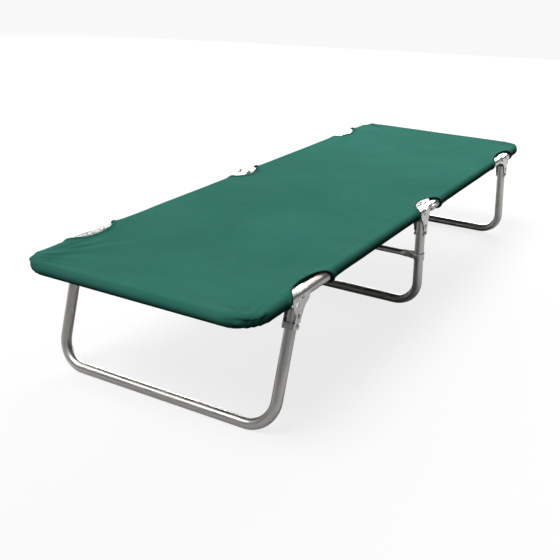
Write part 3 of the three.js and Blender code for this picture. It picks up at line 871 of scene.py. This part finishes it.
def rivet_mesh(name, shank, grip, head, dome, washer=0.0):
    """Domed rivet along X, with a rolled rim at each head and a washer under it if asked."""
    count, washer_thick, rim = 28, 0.7 * MM, 0.22 * MM
    half_profile = [(shank, grip)]
    if washer:
        half_profile += [(washer, grip), (washer, grip + washer_thick), (head, grip + washer_thick)]
        grip += washer_thick
    half_profile += [(head * 0.985, grip), (head, grip + rim)]
    for i in range(1, 8):
        angle = math.pi / 2 * i / 8
        half_profile.append((head * math.cos(angle), grip + rim + (dome - rim) * math.sin(angle)))
    profile = [(r, -x) for r, x in reversed(half_profile)] + half_profile
    turns = [2 * math.pi * j / count for j in range(count)]
    bm = bmesh.new()
    rows = loft(bm, [[(x, r * math.cos(t), r * math.sin(t)) for t in turns] for r, x in profile])
    for row, end in ((rows[0], -1), (rows[-1], 1)):
        tip = bm.verts.new((end * (grip + dome), 0, 0))
        for j in range(count):
            bm.faces.new((row[j], row[(j + 1) % count], tip))
    mesh = mesh_of(name, tidy(bm))
    mesh.materials.append(material("Rivet steel"))
    mesh.shade_smooth()
    mesh.set_sharp_from_angle(angle=math.radians(50))
    return mesh


class COT_OT_rivets(Operator):
    """Every rivet and pin: leg pivots, locks, bracket, strap, hinge and brace rivets"""

    bl_idname = "cot.rivets"
    bl_label = "Rivets and pins"

    def execute(self, context):
        dome = context.scene.cot_sizes.rivet_dome
        grip = CHEEK_OUT + 0.25 * MM
        pivot = rivet_mesh("pivot_rivet", 3 * MM, grip, 4.9 * MM, dome)
        lock = rivet_mesh("lock_rivet", 2.5 * MM, grip, 4.2 * MM, dome * 0.9)
        rail = rivet_mesh("rail_rivet", 2.4 * MM, grip, 3.6 * MM, dome * 0.7, 4.6 * MM)
        strap = rivet_mesh("strap_rivet", 2.4 * MM, TUBE_R + 0.5 * MM + SHEET, 4.1 * MM, dome * 0.8)
        pin = rivet_mesh("fold_pin", 2.2 * MM, SHEET + 0.4 * MM, 3.7 * MM, dome * 0.5)
        tab = rivet_mesh("tab_rivet", 2.5 * MM, BRACE_FLAT_THICK + 0.5 * MM + SHEET, 4.2 * MM, dome * 0.75)
        brace = (BRACE_LOW + BRACE_HIGH) / 2
        tab_turn = Matrix.Rotation(leg_lean("middle"), 4, "X") @ Matrix.Rotation(math.pi / 2, 4, "Z")
        for side_name, side in SIDES.items():
            x = side * RAIL_X
            for key in LEG_KEYS:
                at = PIVOT[key] + Vector((x, 0, 0))
                lean = leg_lean(key)
                down = Vector((0, math.sin(lean), -math.cos(lean)))
                on_rail = Vector((x, PIVOT[key].y + FOLDS[key] * RAIL_RIVET_ALONG[key], RAIL_Z))
                self.put(pivot, f"{key}_pivot_{side_name}", at, FRAME_BODY[key],
                         f"{key}_leg_pivot_rivet_{side_name}")
                self.put(lock, f"{key}_lock_{side_name}", at + down * LOCK_DROP, LEG_BODY[key],
                         f"{key}_leg_lock_rivet_{side_name}")
                self.put(rail, f"{key}_saddle_rivet_{side_name}", on_rail, FRAME_BODY[key],
                         f"{key}_bracket_rivet_{side_name}")
            for i, y in enumerate(STRAP_RIVETS_Y, 1):
                self.put(strap, f"strap_rivet_{side_name}_{i}", Vector((x, y, RAIL_Z)), "far_frame",
                         f"hinge_strap_rivet_{side_name}_{i}")
            for face_name, face in (("outer", side), ("inner", -side)):
                spot = Vector((x + face * (CHEEK_OUT + SLIP / 2), 0, HINGE.z))
                self.put(pin, f"fold_pin_{side_name}_{face_name}", spot, "near_frame",
                         f"hinge_pin_{side_name}_{face_name}")
            spot = Vector((side * (RAIL_X - COLLAR_RIVET), brace.y, brace.z))
            self.put(tab, f"tab_rivet_{side_name}", spot, LEG_BODY["middle"], f"brace_rivet_{side_name}",
                     tab_turn)
        return {"FINISHED"}

    @staticmethod
    def put(mesh, name, spot, body, cad_node, turn=Matrix.Identity(4)):
        piece = link_object(name, mesh)
        piece.matrix_world = Matrix.Translation(spot) @ turn
        dress(piece, body, cad_node)


# ---------------------------------------------------------------- cover: the cloth's shape

WRAP_R = 13.95 * MM  # cloth's outer face, from the rail's axis
WRAP_TURN = math.radians(225)
WRAP_RUN = WRAP_R * WRAP_TURN
RISE_RUN = 28 * MM  # from the rail up to the seam under the cloth
HEM_RUN = 10 * MM
CLOTH_EDGE = WRAP_RUN + RISE_RUN + HEM_RUN
RETURN_START = WRAP_RUN + RISE_RUN / 3  # the sleeve's inner return runs on across the end cut-outs
RETURN_LEAD = 9 * MM  # how straight the sleeve leaves the rail before it rises
SEAM_IN = 25.5 * MM  # sleeve's seam, inboard of the rail's axis
SEAM_DROP = 2 * MM  # seam below the cloth's outer face
STITCH_IN = 2.3 * MM  # hem's stitches, from its inner edge
TOP_STITCH_IN = SEAM_IN + 3 * MM
CORNER_STEPS = 44
CREASE_HIGH = 2.4  # times the heights in the table of corners
RAIL_CLEAR = 0.45 * MM  # cloth never sinks deeper than this towards the rail
LIP_AT = 13 * MM  # gathered cloth's lip round a corner: distance, then height in mm
LIP_HIGH = 4.4
PLEAT_HIGH = 2.8
PLEATS = ((0.10, 0.011), (0.88, -0.009))  # a corner's two deep pleats: turn and slant
INNER_CORNER = (RAIL_X - BEND_R, RAIL_Y - BEND_R)  # where a corner's bend is centred

# Cut-outs in the long sides: side, from and to along Y, depth inboard of the rail's axis, in mm.
CUTOUTS = (
    ("near_right", 1, -768, -584, 14), ("near_left", -1, -764, -590, 25),
    ("middle_right", 1, -74, 82, 22), ("middle_left", -1, -76, 80, 30),
    ("far_right", 1, 586, 766, 9), ("far_left", -1, 594, 768, 24),
)
SNAP_REACH = 7 * MM
ARCH_TOP = 34 * MM  # where a cut-out's curve meets its straight sides, round the rail


def section(s):
    """Cloth's cross-section at distance s out from the rail's top line: offset, height, normal."""
    if s <= 0:
        return s, WRAP_R, (0.0, 1.0)
    if s <= WRAP_RUN:
        turn = s / WRAP_R
        return WRAP_R * math.sin(turn), WRAP_R * math.cos(turn), (math.sin(turn), math.cos(turn))
    start = Vector((WRAP_R * math.sin(WRAP_TURN), WRAP_R * math.cos(WRAP_TURN)))
    stop = Vector((-SEAM_IN, WRAP_R - SEAM_DROP))
    middle = start + Vector((math.cos(WRAP_TURN), -math.sin(WRAP_TURN))) * RETURN_LEAD
    if s <= WRAP_RUN + RISE_RUN:
        t = (s - WRAP_RUN) / RISE_RUN
        point = start.lerp(middle, t).lerp(middle.lerp(stop, t), t)
        slope = (middle - start).lerp(stop - middle, t).normalized()
        return point.x, point.y, (-slope.y, slope.x)
    return stop.x - (s - WRAP_RUN - RISE_RUN), stop.y, (0.0, -1.0)


def bell(value, centre, width):
    return math.exp(-((value - centre) / width) ** 2)


def cutout_gap(side, y, s):
    """Signed distance, roughly, from a point of the cloth's side to the nearest cut-out's edge."""
    nearest = 1.0
    for name, its_side, start, stop, depth in CUTOUTS:
        if its_side != side:
            continue
        centre, half = (start + stop) / 2 * MM, (stop - start) / 2 * MM
        if s > RETURN_START and "middle" not in name:
            continue
        if s > ARCH_TOP:
            gap = abs(y - centre) - half
        else:
            deep = ARCH_TOP + depth * MM
            u, v = (y - centre) / half, (ARCH_TOP - s) / deep
            gap = (math.hypot(u, v) - 1) * min(half, deep) * (1.0 if v > abs(u) else 1.3)
        nearest = min(nearest, gap)
    return nearest


def corner_folds(x, y):
    """Folds that fan out of each corner across the top: soft ridges, and a few sharp creases."""
    rise = 0.0
    for cx, cy, strength, creases in CORNERS:
        dx, dy = (cx * (RAIL_X - 8 * MM) - x) * cx, (cy * (RAIL_Y - 8 * MM) - y) * cy
        r = math.hypot(dx, dy)
        if r > 0.5:
            continue
        angle = math.degrees(math.atan2(dx, dy))
        fade = bell(r, 0.09, 0.10) + 0.4 * bell(r, 0.24, 0.13)
        wander = 9 * noise.noise((r * 7, cx * 2.0, cy * 3.0))
        rise += 0.5 * MM * strength * fade * math.cos(math.radians((angle + wander) * 11))
        for at, length, height, width in creases:
            away = math.radians(angle + 0.5 * wander - at) * r
            half = (width + 0.035 * r / MM) * MM
            ends = bell(r, length * 0.45 * MM, length * 0.5 * MM) * min(1, r / 0.012)
            ridge = bell(away, 0, half) - 0.8 * bell(away, -1.7 * half, 0.8 * half)
            rise += CREASE_HIGH * height * strength * MM * ends * ridge
    return rise


# Corners: which one, strength, and its creases as angle from the cot's length, length, height, width.
CORNERS = (
    (-1, -1, 1.0, ((4, 110, 1.3, 3.5), (17, 170, 1.7, 4.5), (31, 230, 1.2, 6.0), (52, 120, 1.1, 5.0),
                   (78, 90, 1.5, 3.5))),
    (1, -1, 0.8, ((12, 70, 0.9, 4.0), (40, 90, 0.8, 5.0), (66, 80, 1.1, 4.0), (84, 60, 1.2, 3.0))),
    (-1, 1, 1.0, ((8, 60, 1.2, 3.0), (24, 80, 1.3, 3.5), (43, 90, 1.1, 4.0), (63, 80, 1.2, 4.0),
                  (82, 60, 1.0, 3.0))),
    (1, 1, 0.7, ((15, 70, 1.0, 4.0), (45, 90, 0.9, 5.0), (75, 60, 1.1, 4.0))),
)


def gathers(corner_turn, s, phase):
    """Pleats round a corner's roll and under side, where the cloth is taken in."""
    if corner_turn is None:
        return 0.0
    ends = math.sin(math.pi * corner_turn) ** 0.6 if 0 < corner_turn < 1 else 0.0
    down = min(1, max(0, (s - 4 * MM) / (26 * MM)))
    lean = 0.10 * math.sin(s / MM * 0.16 + phase * 3)
    wave = (corner_turn + lean) * 5.0 + 0.45 * math.sin(corner_turn * 8 + phase) + phase
    part = wave % 1.0
    ridge = (1 - part) ** 0.8 * min(1, part / 0.16)
    past = s - LIP_AT + 2.2 * MM * math.sin(corner_turn * 9 + phase * 4)
    lip = 0.75 + 0.3 * math.sin(corner_turn * 17 + phase * 5)
    step = LIP_HIGH * lip * bell(min(0, past), 0, 8 * MM) * bell(max(0, past), 0, 1.6 * MM)
    for start, slope in PLEATS:
        step += PLEAT_HIGH * bell(corner_turn - start, slope * s / MM, 0.03) * bell(s, 6 * MM, 6 * MM)
    window = bell(corner_turn, 0.5, 0.42)
    return max(-0.35, (2.4 * ridge - 0.4) * down * ends + step * window * ends) * MM


def top_relief(x, y):
    """How far the cloth's face stands off its plain shape, at a place on the cot."""
    sizes = bpy.context.scene.cot_sizes
    across = 1 - (x / RAIL_X) ** 2
    along = 1 - (abs(y) / RAIL_Y) ** 6
    rise = -sizes.sag * max(0, across) * max(0, along)
    rise += corner_folds(x, y)
    rise += 0.55 * MM * noise.noise((x * 7, y * 2.6, 3.1)) + 0.22 * MM * noise.noise((x * 26, y * 19, 8.4))
    diagonal = (x + 0.20) * 0.55 + (y + 0.52) * 0.32
    wave = math.cos(diagonal * 75 + 3 * noise.noise((x * 4, y * 4, 1)))
    rise += 1.7 * MM * wave * bell(x, -0.10, 0.2) * bell(y, -0.45, 0.3)
    diagonal = (x - 0.1) * 0.35 - (y - 0.42) * 0.30
    rise += 0.8 * MM * math.cos(diagonal * 80) * bell(x, 0.05, 0.2) * bell(y, 0.50, 0.25)
    return rise


def near_saddle(y, s):
    """Lift where the cloth rides over a saddle bracket beneath it."""
    lift = 0.0
    for key, (web_side, fold_side) in SADDLE_REACH.items():
        start = PIVOT[key].y - FOLDS[key] * web_side
        stop = PIVOT[key].y + FOLDS[key] * fold_side
        centre, half = (start + stop) / 2, abs(stop - start) / 2
        edge = max(abs(y - centre) - half, 0)
        inward = max(-s - 6 * MM, s - 26 * MM, 0)
        lift = max(lift, 2.1 * MM * bell(edge, 0, 10 * MM) * bell(inward, 0, 10 * MM))
    return lift


def side_relief(side, y, s):
    """Relief along a long side: saddles, ripples round the cut-outs, slack between them."""
    gap = cutout_gap(side, y, s)
    ripple = 0.5 * MM * bell(gap, 4 * MM, 4.5 * MM) - 1.0 * MM * bell(gap, 12.5 * MM, 3.4 * MM)
    ripple += 0.35 * MM * math.cos(gap / MM * 0.45) * bell(gap, 26 * MM, 16 * MM)
    roll = 0.35 * MM * noise.noise((y * 13, s * 30, side * 5.0)) * min(1, max(0, (s + 10 * MM) / (14 * MM)))
    return near_saddle(y, s) + ripple + roll + flare(side, y, gap)


def flare(side, y, gap):
    """How far the cloth stands off the rail round a cut-out, most at the end away from the saddle."""
    for _, its_side, start, stop, _ in CUTOUTS:
        centre, half = (start + stop) / 2 * MM, (stop - start) / 2 * MM
        if its_side == side and abs(y - centre) < half + 60 * MM:
            t = min(1, max(0, 0.5 + (y - centre) / (half * 1.6)))
            loose = 0.6 + 3.2 * t * t * (3 - 2 * t)
            return loose * MM * bell(max(gap, 0), 0, 17 * MM)
    return 0.0


def cloth_at(base, normal, s, lift=0.0, side=None, corner_turn=None, phase=0.0):
    """A point on the cloth's outer face. base and normal are the rail's, in plan."""
    offset, height, (out, up) = section(s)
    x, y = base[0] + normal[0] * offset, base[1] + normal[1] * offset
    fade = 1 if s <= 0 else max(0, 1 - s / (12 * MM))
    relief = top_relief(x, y) * fade if s < CLOTH_EDGE else 0
    if side is not None:
        relief += side_relief(side, y, s) * (1 if s < WRAP_RUN else 0)
    relief += gathers(corner_turn, s, phase) if s < WRAP_RUN + 12 * MM else 0
    if s <= WRAP_RUN:
        relief = max(relief, -RAIL_CLEAR - min(s, 0) ** 2 / (2 * TUBE_R))
    if s > WRAP_RUN + RISE_RUN - 1 * MM:
        relief = -top_relief(x, y)
    move = relief + lift
    return Vector((x + normal[0] * out * move, y + normal[1] * out * move, RAIL_Z + height + up * move))


def side_steps():
    """Places along a long side: close together at the cut-outs and the fold, further apart between."""
    reach = INNER_CORNER[1]
    spans = [(-reach, -0.796, 11), (-0.796, -0.552, 4.4), (-0.552, -0.108, 13), (-0.108, 0.112, 4.4),
             (0.112, 0.568, 13), (0.568, 0.800, 4.4), (0.800, reach, 11)]
    steps = []
    for start, stop, pitch in spans:
        count = max(1, round((stop - start) / (pitch * MM)))
        steps += [start + (stop - start) * i / count for i in range(count)]
    return steps + [reach]


def perimeter():
    """Columns round the cot: rail point, outward normal, long side (or None), turn within a corner."""
    columns = []
    ys = side_steps()
    reach_x, reach_y = INNER_CORNER
    count = round(reach_x * 2 / (10 * MM))
    xs = [-reach_x + reach_x * 2 * i / count for i in range(count + 1)]

    def bend(cx, cy, start):
        for i in range(1, CORNER_STEPS):
            turn = math.radians(start + 90 * i / CORNER_STEPS)
            normal = (math.cos(turn), math.sin(turn))
            base = (cx * reach_x + BEND_R * normal[0], cy * reach_y + BEND_R * normal[1])
            columns.append((base, normal, None, i / CORNER_STEPS))

    columns += [((RAIL_X, y), (1, 0), 1, None) for y in ys]
    bend(1, 1, 0)
    columns += [((x, RAIL_Y), (0, 1), None, None) for x in reversed(xs)]
    bend(-1, 1, 90)
    columns += [((-RAIL_X, y), (-1, 0), -1, None) for y in reversed(ys)]
    bend(-1, -1, 180)
    columns += [((x, -RAIL_Y), (0, -1), None, None) for x in xs]
    bend(1, -1, 270)
    return columns, xs, ys


def cloth_rows():
    """Distances of the cloth's rows out from the rail's top line, from its inner grid to its edge."""
    inner = [-BEND_R + BEND_R * (i / 14) for i in range(15)]
    wrap = [WRAP_RUN * i / 26 for i in range(1, 27)]
    rise = [WRAP_RUN + RISE_RUN * i / 6 for i in range(1, 7)]
    return inner + wrap + rise + [CLOTH_EDGE - HEM_RUN / 2, CLOTH_EDGE]


def snap_to_cutout(side, y, s):
    """The nearest place on the edge of the cut-out that (y, s) lies in or beside."""
    best = (1.0, y, s)
    for _, its_side, start, stop, depth in CUTOUTS:
        if its_side != side:
            continue
        for py, ps in cutout_edge(start, stop, depth, 160):
            away = math.hypot(py - y, ps - s)
            if away < best[0]:
                best = (away, py, ps)
    return best


def cutout_edge(start, stop, depth, count):
    """Outline of a cut-out on the flat cloth, from one end of its sleeve round to the other."""
    centre, half = (start + stop) / 2 * MM, (stop - start) / 2 * MM
    deep = ARCH_TOP + depth * MM
    lead = CLOTH_EDGE - ARCH_TOP
    arch = [(centre - half * math.cos(math.pi * i / count), ARCH_TOP - deep * math.sin(math.pi * i / count))
            for i in range(count + 1)]
    straight = max(4, count // 4)
    first = [(centre - half, CLOTH_EDGE - lead * i / straight) for i in range(straight)]
    last = [(centre + half, ARCH_TOP + lead * (i + 1) / straight) for i in range(straight)]
    return first + arch + last


class COT_OT_cover(Operator):
    """The cloth cover: flat top, sleeves rolled round the rails, gathered corners, cut-outs"""

    bl_idname = "cot.cover"
    bl_label = "Cloth cover"

    def execute(self, context):
        sizes = context.scene.cot_sizes
        cover = self.cloth()
        cover.data.materials.append(material("Green cover cloth"))
        body = cover.modifiers.new("thickness", "SOLIDIFY")
        body.thickness = sizes.cloth_thick
        body.offset = -1
        apply_modifiers(cover)
        cover.data.shade_smooth()
        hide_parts("near_cover", "far_cover")
        trims = []
        for name, side, start, stop, depth in CUTOUTS:
            trims.append(self.hem(f"hem_{name}", side, start, stop, depth, sizes))
            trims.append(self.hem_stitches(f"hem_stitches_{name}", side, start, stop, depth, sizes))
        trims += self.seam_stitches(sizes)
        for piece in [cover] + trims:
            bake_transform(piece)
        return {"FINISHED"}

    @classmethod
    def cloth(cls):
        """One sheet: an inner grid, and columns that run out from it, round the rails and up inside."""
        columns, xs, ys = perimeter()
        rows = cloth_rows()
        removed = cls.cut_cells(columns, rows)
        moved = cls.trimmed_places(columns, rows, removed)
        bm = bmesh.new()
        layer = bm.loops.layers.uv.verify()
        flat_place, inner = {}, {}

        def key_of(x, y):
            return round(x, 6), round(y, 6)

        def inner_vertex(x, y):
            key = key_of(x, y)
            if key not in inner:
                inner[key] = bm.verts.new((x, y, RAIL_Z + WRAP_R + top_relief(x, y)))
                flat_place[inner[key]] = (x, y)
            return inner[key]

        verts = []
        for c, (base, normal, side, turn) in enumerate(columns):
            phase = 0.7 * (1 + math.copysign(1, base[0])) + 1.3 * (1 + math.copysign(1, base[1]))
            straight = turn is None and all(abs(abs(at) - end) > 1e-9 for at, end in zip(base, INNER_CORNER))
            made = []
            for r, s in enumerate(rows):
                if r == 0 and not straight:
                    corner = [math.copysign(end, at) for at, end in zip(base, INNER_CORNER)]
                    made.append(inner_vertex(*corner))
                    continue
                rail, run = moved.get((c, r), (base, s))
                vert = bm.verts.new(cloth_at(rail, normal, run, 0.0, side, turn, phase))
                flat_place[vert] = (rail[0] + normal[0] * run, rail[1] + normal[1] * run)
                if r == 0:
                    inner[key_of(*flat_place[vert])] = vert
                made.append(vert)
            verts.append(made)

        def face(*corners):
            unique = list(dict.fromkeys(corners))
            if len(unique) >= 3:
                made = bm.faces.new(unique)
                for loop in made.loops:
                    loop[layer].uv = flat_place[loop.vert]

        for c, column in enumerate(verts):
            beside = verts[(c + 1) % len(verts)]
            for r in range(len(rows) - 1):
                if (c, r) not in removed:
                    face(column[r], beside[r], beside[r + 1], column[r + 1])
        grid = [[inner_vertex(x, y) for x in xs] for y in ys]
        for low, high in zip(grid, grid[1:]):
            for i in range(len(xs) - 1):
                face(low[i], low[i + 1], high[i + 1], high[i])
        tidy(bm)
        top = max(bm.faces, key=lambda f: f.calc_center_median().z)
        if top.normal.z < 0:
            bmesh.ops.reverse_faces(bm, faces=bm.faces)
        return link_object("cloth_cover", mesh_of("cloth_cover", bm))

    @staticmethod
    def cut_cells(columns, rows):
        """The cells, as column and row, whose centres lie in a cut-out."""
        removed = set()
        for c, (base, _, side, _) in enumerate(columns):
            next_base, _, next_side, _ = columns[(c + 1) % len(columns)]
            if side is None or next_side != side:
                continue
            y = (base[1] + next_base[1]) / 2
            for r in range(len(rows) - 1):
                if cutout_gap(side, y, (rows[r] + rows[r + 1]) / 2) < 0:
                    removed.add((c, r))
        return removed

    @staticmethod
    def trimmed_places(columns, rows, removed):
        """New rail point and distance for each vertex on a cut-out's stepped edge, to smooth the edge."""
        moved = {}
        for c, (base, _, side, _) in enumerate(columns):
            if side is None:
                continue
            for r in range(1, len(rows)):
                beside = [row for row in (r - 1, r) if row < len(rows) - 1]
                cells = [(column % len(columns), row) for column in (c - 1, c) for row in beside]
                gone = [cell in removed for cell in cells]
                if any(gone) and not all(gone):
                    away, y, s = snap_to_cutout(side, base[1], rows[r])
                    if away < SNAP_REACH:
                        moved[c, r] = ((base[0], y), s)
        return moved

    @staticmethod
    def edge_frames(start, stop, depth, count=120):
        """Places along a cut-out's edge with the direction into the cloth, on the flat cloth."""
        edge = cutout_edge(start, stop, depth, count)
        frames = []
        for i, (y, s) in enumerate(edge):
            before, after = edge[max(0, i - 1)], edge[min(len(edge) - 1, i + 1)]
            ty, ts = after[0] - before[0], after[1] - before[1]
            length = math.hypot(ty, ts)
            inward = (ts / length, -ty / length)
            centre = (start + stop) / 2 * MM
            if inward[0] * (y - centre) + inward[1] * (s - ARCH_TOP) < 0:
                inward = (-inward[0], -inward[1])
            frames.append((y, s, inward))
        return frames

    @classmethod
    def hem(cls, name, side, start, stop, depth, sizes):
        """Turned hem along a cut-out: a flat roll of doubled cloth over the cut edge."""
        width = sizes.hem_width
        profile = []
        for j in range(14):
            angle = 2 * math.pi * j / 14
            c, s = math.cos(angle), math.sin(angle)
            a = width / 2 - 0.5 * MM + math.copysign(abs(c) ** 0.7, c) * (width / 2)
            b = -0.45 * MM + math.copysign(abs(s) ** 0.8, s) * 1.25 * MM
            dent = 0.45 * MM * bell(a, width - STITCH_IN, 1.1 * MM) if b > 0 else 0
            profile.append((a, b - dent))
        loops, flats = [], []
        for y, s, inward in cls.edge_frames(start, stop, depth):
            loop, flat = [], []
            for a, b in profile:
                yy, ss = y + inward[0] * a, min(s + inward[1] * a, CLOTH_EDGE)
                pucker = 0.12 * MM * math.sin(y / MM * 1.9 + s / MM * 1.9) if b > 0 else 0
                loop.append(cloth_at((side * RAIL_X, yy), (side, 0), ss, b + pucker, side))
                flat.append((side * (RAIL_X + ss), yy))
            loops.append(loop)
            flats.append(flat)
        bm = bmesh.new()
        count = len(profile)
        rows = loft(bm, loops, lambda row, f: flats[row][round(f * count) % count])
        bm.faces.new(rows[0])
        bm.faces.new(rows[-1])
        return make_object(name, tidy(bm), material("Hem cloth"), 60)

    @classmethod
    def hem_stitches(cls, name, side, start, stop, depth, sizes):
        row = []
        for y, s, inward in cls.edge_frames(start, stop, depth, 400):
            a = sizes.hem_width - STITCH_IN
            yy, ss = y + inward[0] * a, s + inward[1] * a
            if ss < CLOTH_EDGE:
                row.append(cloth_at((side * RAIL_X, yy), (side, 0), ss, 0.30 * MM, side))
        return stitch_row(name, [row], sizes.stitch_pitch)

    @staticmethod
    def seam_stitches(sizes):
        """Stitch rows of the rails' sleeves, seen on the top and again underneath."""
        columns, _, _ = perimeter()
        pieces = []
        for name, s, lift in (("seam_stitches_top", -TOP_STITCH_IN, 0.14 * MM),
                              ("seam_stitches_under", WRAP_RUN + RISE_RUN + 3 * MM, 0.15 * MM)):
            rows, row = [], []
            start = next(i for i, column in enumerate(columns) if column[2] is None)
            for base, normal, side, turn in columns[start:] + columns[:start + 1]:
                blocked = side is not None and cutout_gap(side, base[1], s) < sizes.hem_width + 1 * MM
                if blocked:
                    rows.append(row)
                    row = []
                    continue
                row.append(cloth_at(base, normal, s, lift, side, turn))
            rows.append(row)
            pieces.append(stitch_row(name, [r for r in rows if len(r) > 2], sizes.stitch_pitch))
        return pieces


def stitch_row(name, rows, pitch):
    """Rows of sunk lock stitches: short rounded threads with a gap between."""
    bm = bmesh.new()
    sides, length, thick = 6, pitch * 0.74, 0.24 * MM
    turns = [2 * math.pi * k / sides for k in range(sides)]
    for row in rows:
        reached = 0.0
        for a, b in zip(row, row[1:]):
            step = (b - a).length
            if step < 1e-7:
                continue
            along = (b - a) / step
            while reached < step:
                centre = a + along * reached
                reached += pitch
                up = Vector((0, 0, 1)) if abs(along.z) < 0.9 else Vector((1, 0, 0))
                across = along.cross(up).normalized()
                up = across.cross(along)
                rings = []
                for t, width in ((-0.42, 0.62), (0.0, 1.0), (0.42, 0.62)):
                    spot = centre + along * (t * length)
                    rings.append([spot + (across * math.cos(turn) + up * math.sin(turn)) * (thick * width)
                                  for turn in turns])
                made = loft(bm, rings)
                for ring, end in ((made[0], -0.5), (made[-1], 0.5)):
                    tip = bm.verts.new(centre + along * (end * length))
                    for k in range(sides):
                        bm.faces.new((ring[k], ring[(k + 1) % sides], tip))
            reached -= step
    return make_object(name, tidy(bm), material("Sewing thread"))


# ---------------------------------------------------------------- stage

KEY_SIZE = math.radians(36)
KEY_LEAN = (math.radians(22), math.radians(-17), 0)


class COT_OT_stage(Operator):
    """Pale floor, soft lights and the camera"""

    bl_idname = "cot.stage"
    bl_label = "Studio"

    def execute(self, context):
        scene = context.scene
        studio = scene.cot_studio
        scene.view_settings.view_transform = "Standard"
        self.floor(scene.cot_colours, studio)
        self.lights(studio)
        data = bpy.data.cameras.new("studio_camera")
        data.lens = studio.lens
        data.sensor_width = 36
        data.clip_end = 60
        camera = bpy.data.objects.new("studio_camera", data)
        turn = Matrix.Rotation(studio.camera_turn, 4, "Z")
        tilt = Matrix.Rotation(math.radians(90) - studio.camera_tilt, 4, "X")
        roll = Matrix.Rotation(studio.camera_roll, 4, "Z")
        camera.matrix_world = Matrix.Translation(Vector(studio.camera_place)) @ turn @ tilt @ roll
        scene.collection.objects.link(camera)
        scene.camera = camera
        return {"FINISHED"}

    @staticmethod
    def floor(colours, studio):
        bm = bmesh.new()
        bmesh.ops.create_grid(bm, x_segments=8, y_segments=8, size=30)
        tree, shader = new_material("Studio floor")
        cloud = noise_value(tree, object_place(tree), 1.3, 3.0)
        lit = 1 - studio.glow
        tone = mix_colour(tree, cloud, scaled(colours.floor, 0.985 * lit), scaled(colours.floor, 1.015 * lit))
        rays = node(tree, "ShaderNodeLightPath").outputs
        low, mirrored = scaled(colours.floor, studio.bounce), scaled(colours.floor, studio.mirrored)
        unseen = mix_colour(tree, rays["Is Glossy Ray"], low, mirrored)
        glow = mix_colour(tree, rays["Is Camera Ray"], (0, 0, 0), (studio.glow,) * 3)
        fill(tree, shader, Base_Color=mix_colour(tree, rays["Is Camera Ray"], unseen, tone),
             Emission_Color=glow, Emission_Strength=1.0, Specular_IOR_Level=0.0,
             Roughness=span(tree, cloud, 0.75, 0.85))
        make_object("studio_floor", bm, bpy.data.materials["Studio floor"])

    @staticmethod
    def lights(studio):
        world = bpy.data.worlds.new("studio_room")
        bpy.context.scene.world = world
        world.use_nodes = True
        room = world.node_tree
        seen = node(room, "ShaderNodeLightPath").outputs["Is Camera Ray"]
        tone = mix_colour(room, seen, (studio.sky,) * 3, (studio.backdrop,) * 3)
        room.links.new(tone, room.nodes["Background"].inputs["Color"])
        data = bpy.data.lights.new("overhead_light", "SUN")
        data.energy = studio.key_power
        data.angle = KEY_SIZE
        lamp = bpy.data.objects.new("overhead_light", data)
        lamp.rotation_euler = KEY_LEAN
        bpy.context.scene.collection.objects.link(lamp)
        plans = (
            ("left_light", (-3.2, -1.6, 1.7), (0, -0.2, 0.2), (1.6, 1.6), studio.fill_power),
            ("front_light", (1.6, -3.6, 1.4), (0, -0.4, 0.2), (2.0, 1.2), studio.fill_power),
            ("back_light", (-1.6, 5.0, 1.9), (0, 0, 0.3), (5.0, 2.4), studio.back_power),
        )
        for name, place, aim, size, power in plans:
            data = bpy.data.lights.new(name, "AREA")
            data.shape = "RECTANGLE"
            data.size, data.size_y = size
            data.energy = power
            lamp = bpy.data.objects.new(name, data)
            lamp.location = place
            lamp.rotation_euler = (Vector(aim) - Vector(place)).to_track_quat("-Z", "Y").to_euler()
            bpy.context.scene.collection.objects.link(lamp)


# ---------------------------------------------------------------- panel and registration

BUILD_ORDER = (
    COT_OT_half_frames, COT_OT_legs, COT_OT_brace, COT_OT_brackets, COT_OT_hinge_straps, COT_OT_rivets,
    COT_OT_cover, COT_OT_stage,
)


class COT_PT_panel(Panel):
    """Lists the cot's pieces and settings in the sidebar"""

    bl_idname = "COT_PT_panel"
    bl_label = "Folding cot"
    bl_space_type = "VIEW_3D"
    bl_region_type = "UI"
    bl_category = "Cot"

    def draw(self, context):
        layout = self.layout
        for operator in BUILD_ORDER:
            layout.operator(operator.bl_idname)
        for group in (context.scene.cot_sizes, context.scene.cot_colours, context.scene.cot_studio):
            box = layout.box()
            for key in group.bl_rna.properties.keys():
                if key not in {"rna_type", "name"}:
                    box.prop(group, key)


CLASSES = (CotSizes, CotColours, CotStudio, *BUILD_ORDER, COT_PT_panel)
SETTINGS = {"cot_sizes": CotSizes, "cot_colours": CotColours, "cot_studio": CotStudio}


def register():
    for cls in CLASSES:
        bpy.utils.register_class(cls)
    for name, group in SETTINGS.items():
        setattr(bpy.types.Scene, name, PointerProperty(type=group))


def unregister():
    for name in SETTINGS:
        delattr(bpy.types.Scene, name)
    for cls in reversed(CLASSES):
        bpy.utils.unregister_class(cls)


def main():
    register()
    for operator in BUILD_ORDER:
        section_name, call_name = operator.bl_idname.split(".")
        getattr(getattr(bpy.ops, section_name), call_name)()


if __name__ == "__main__":
    main()
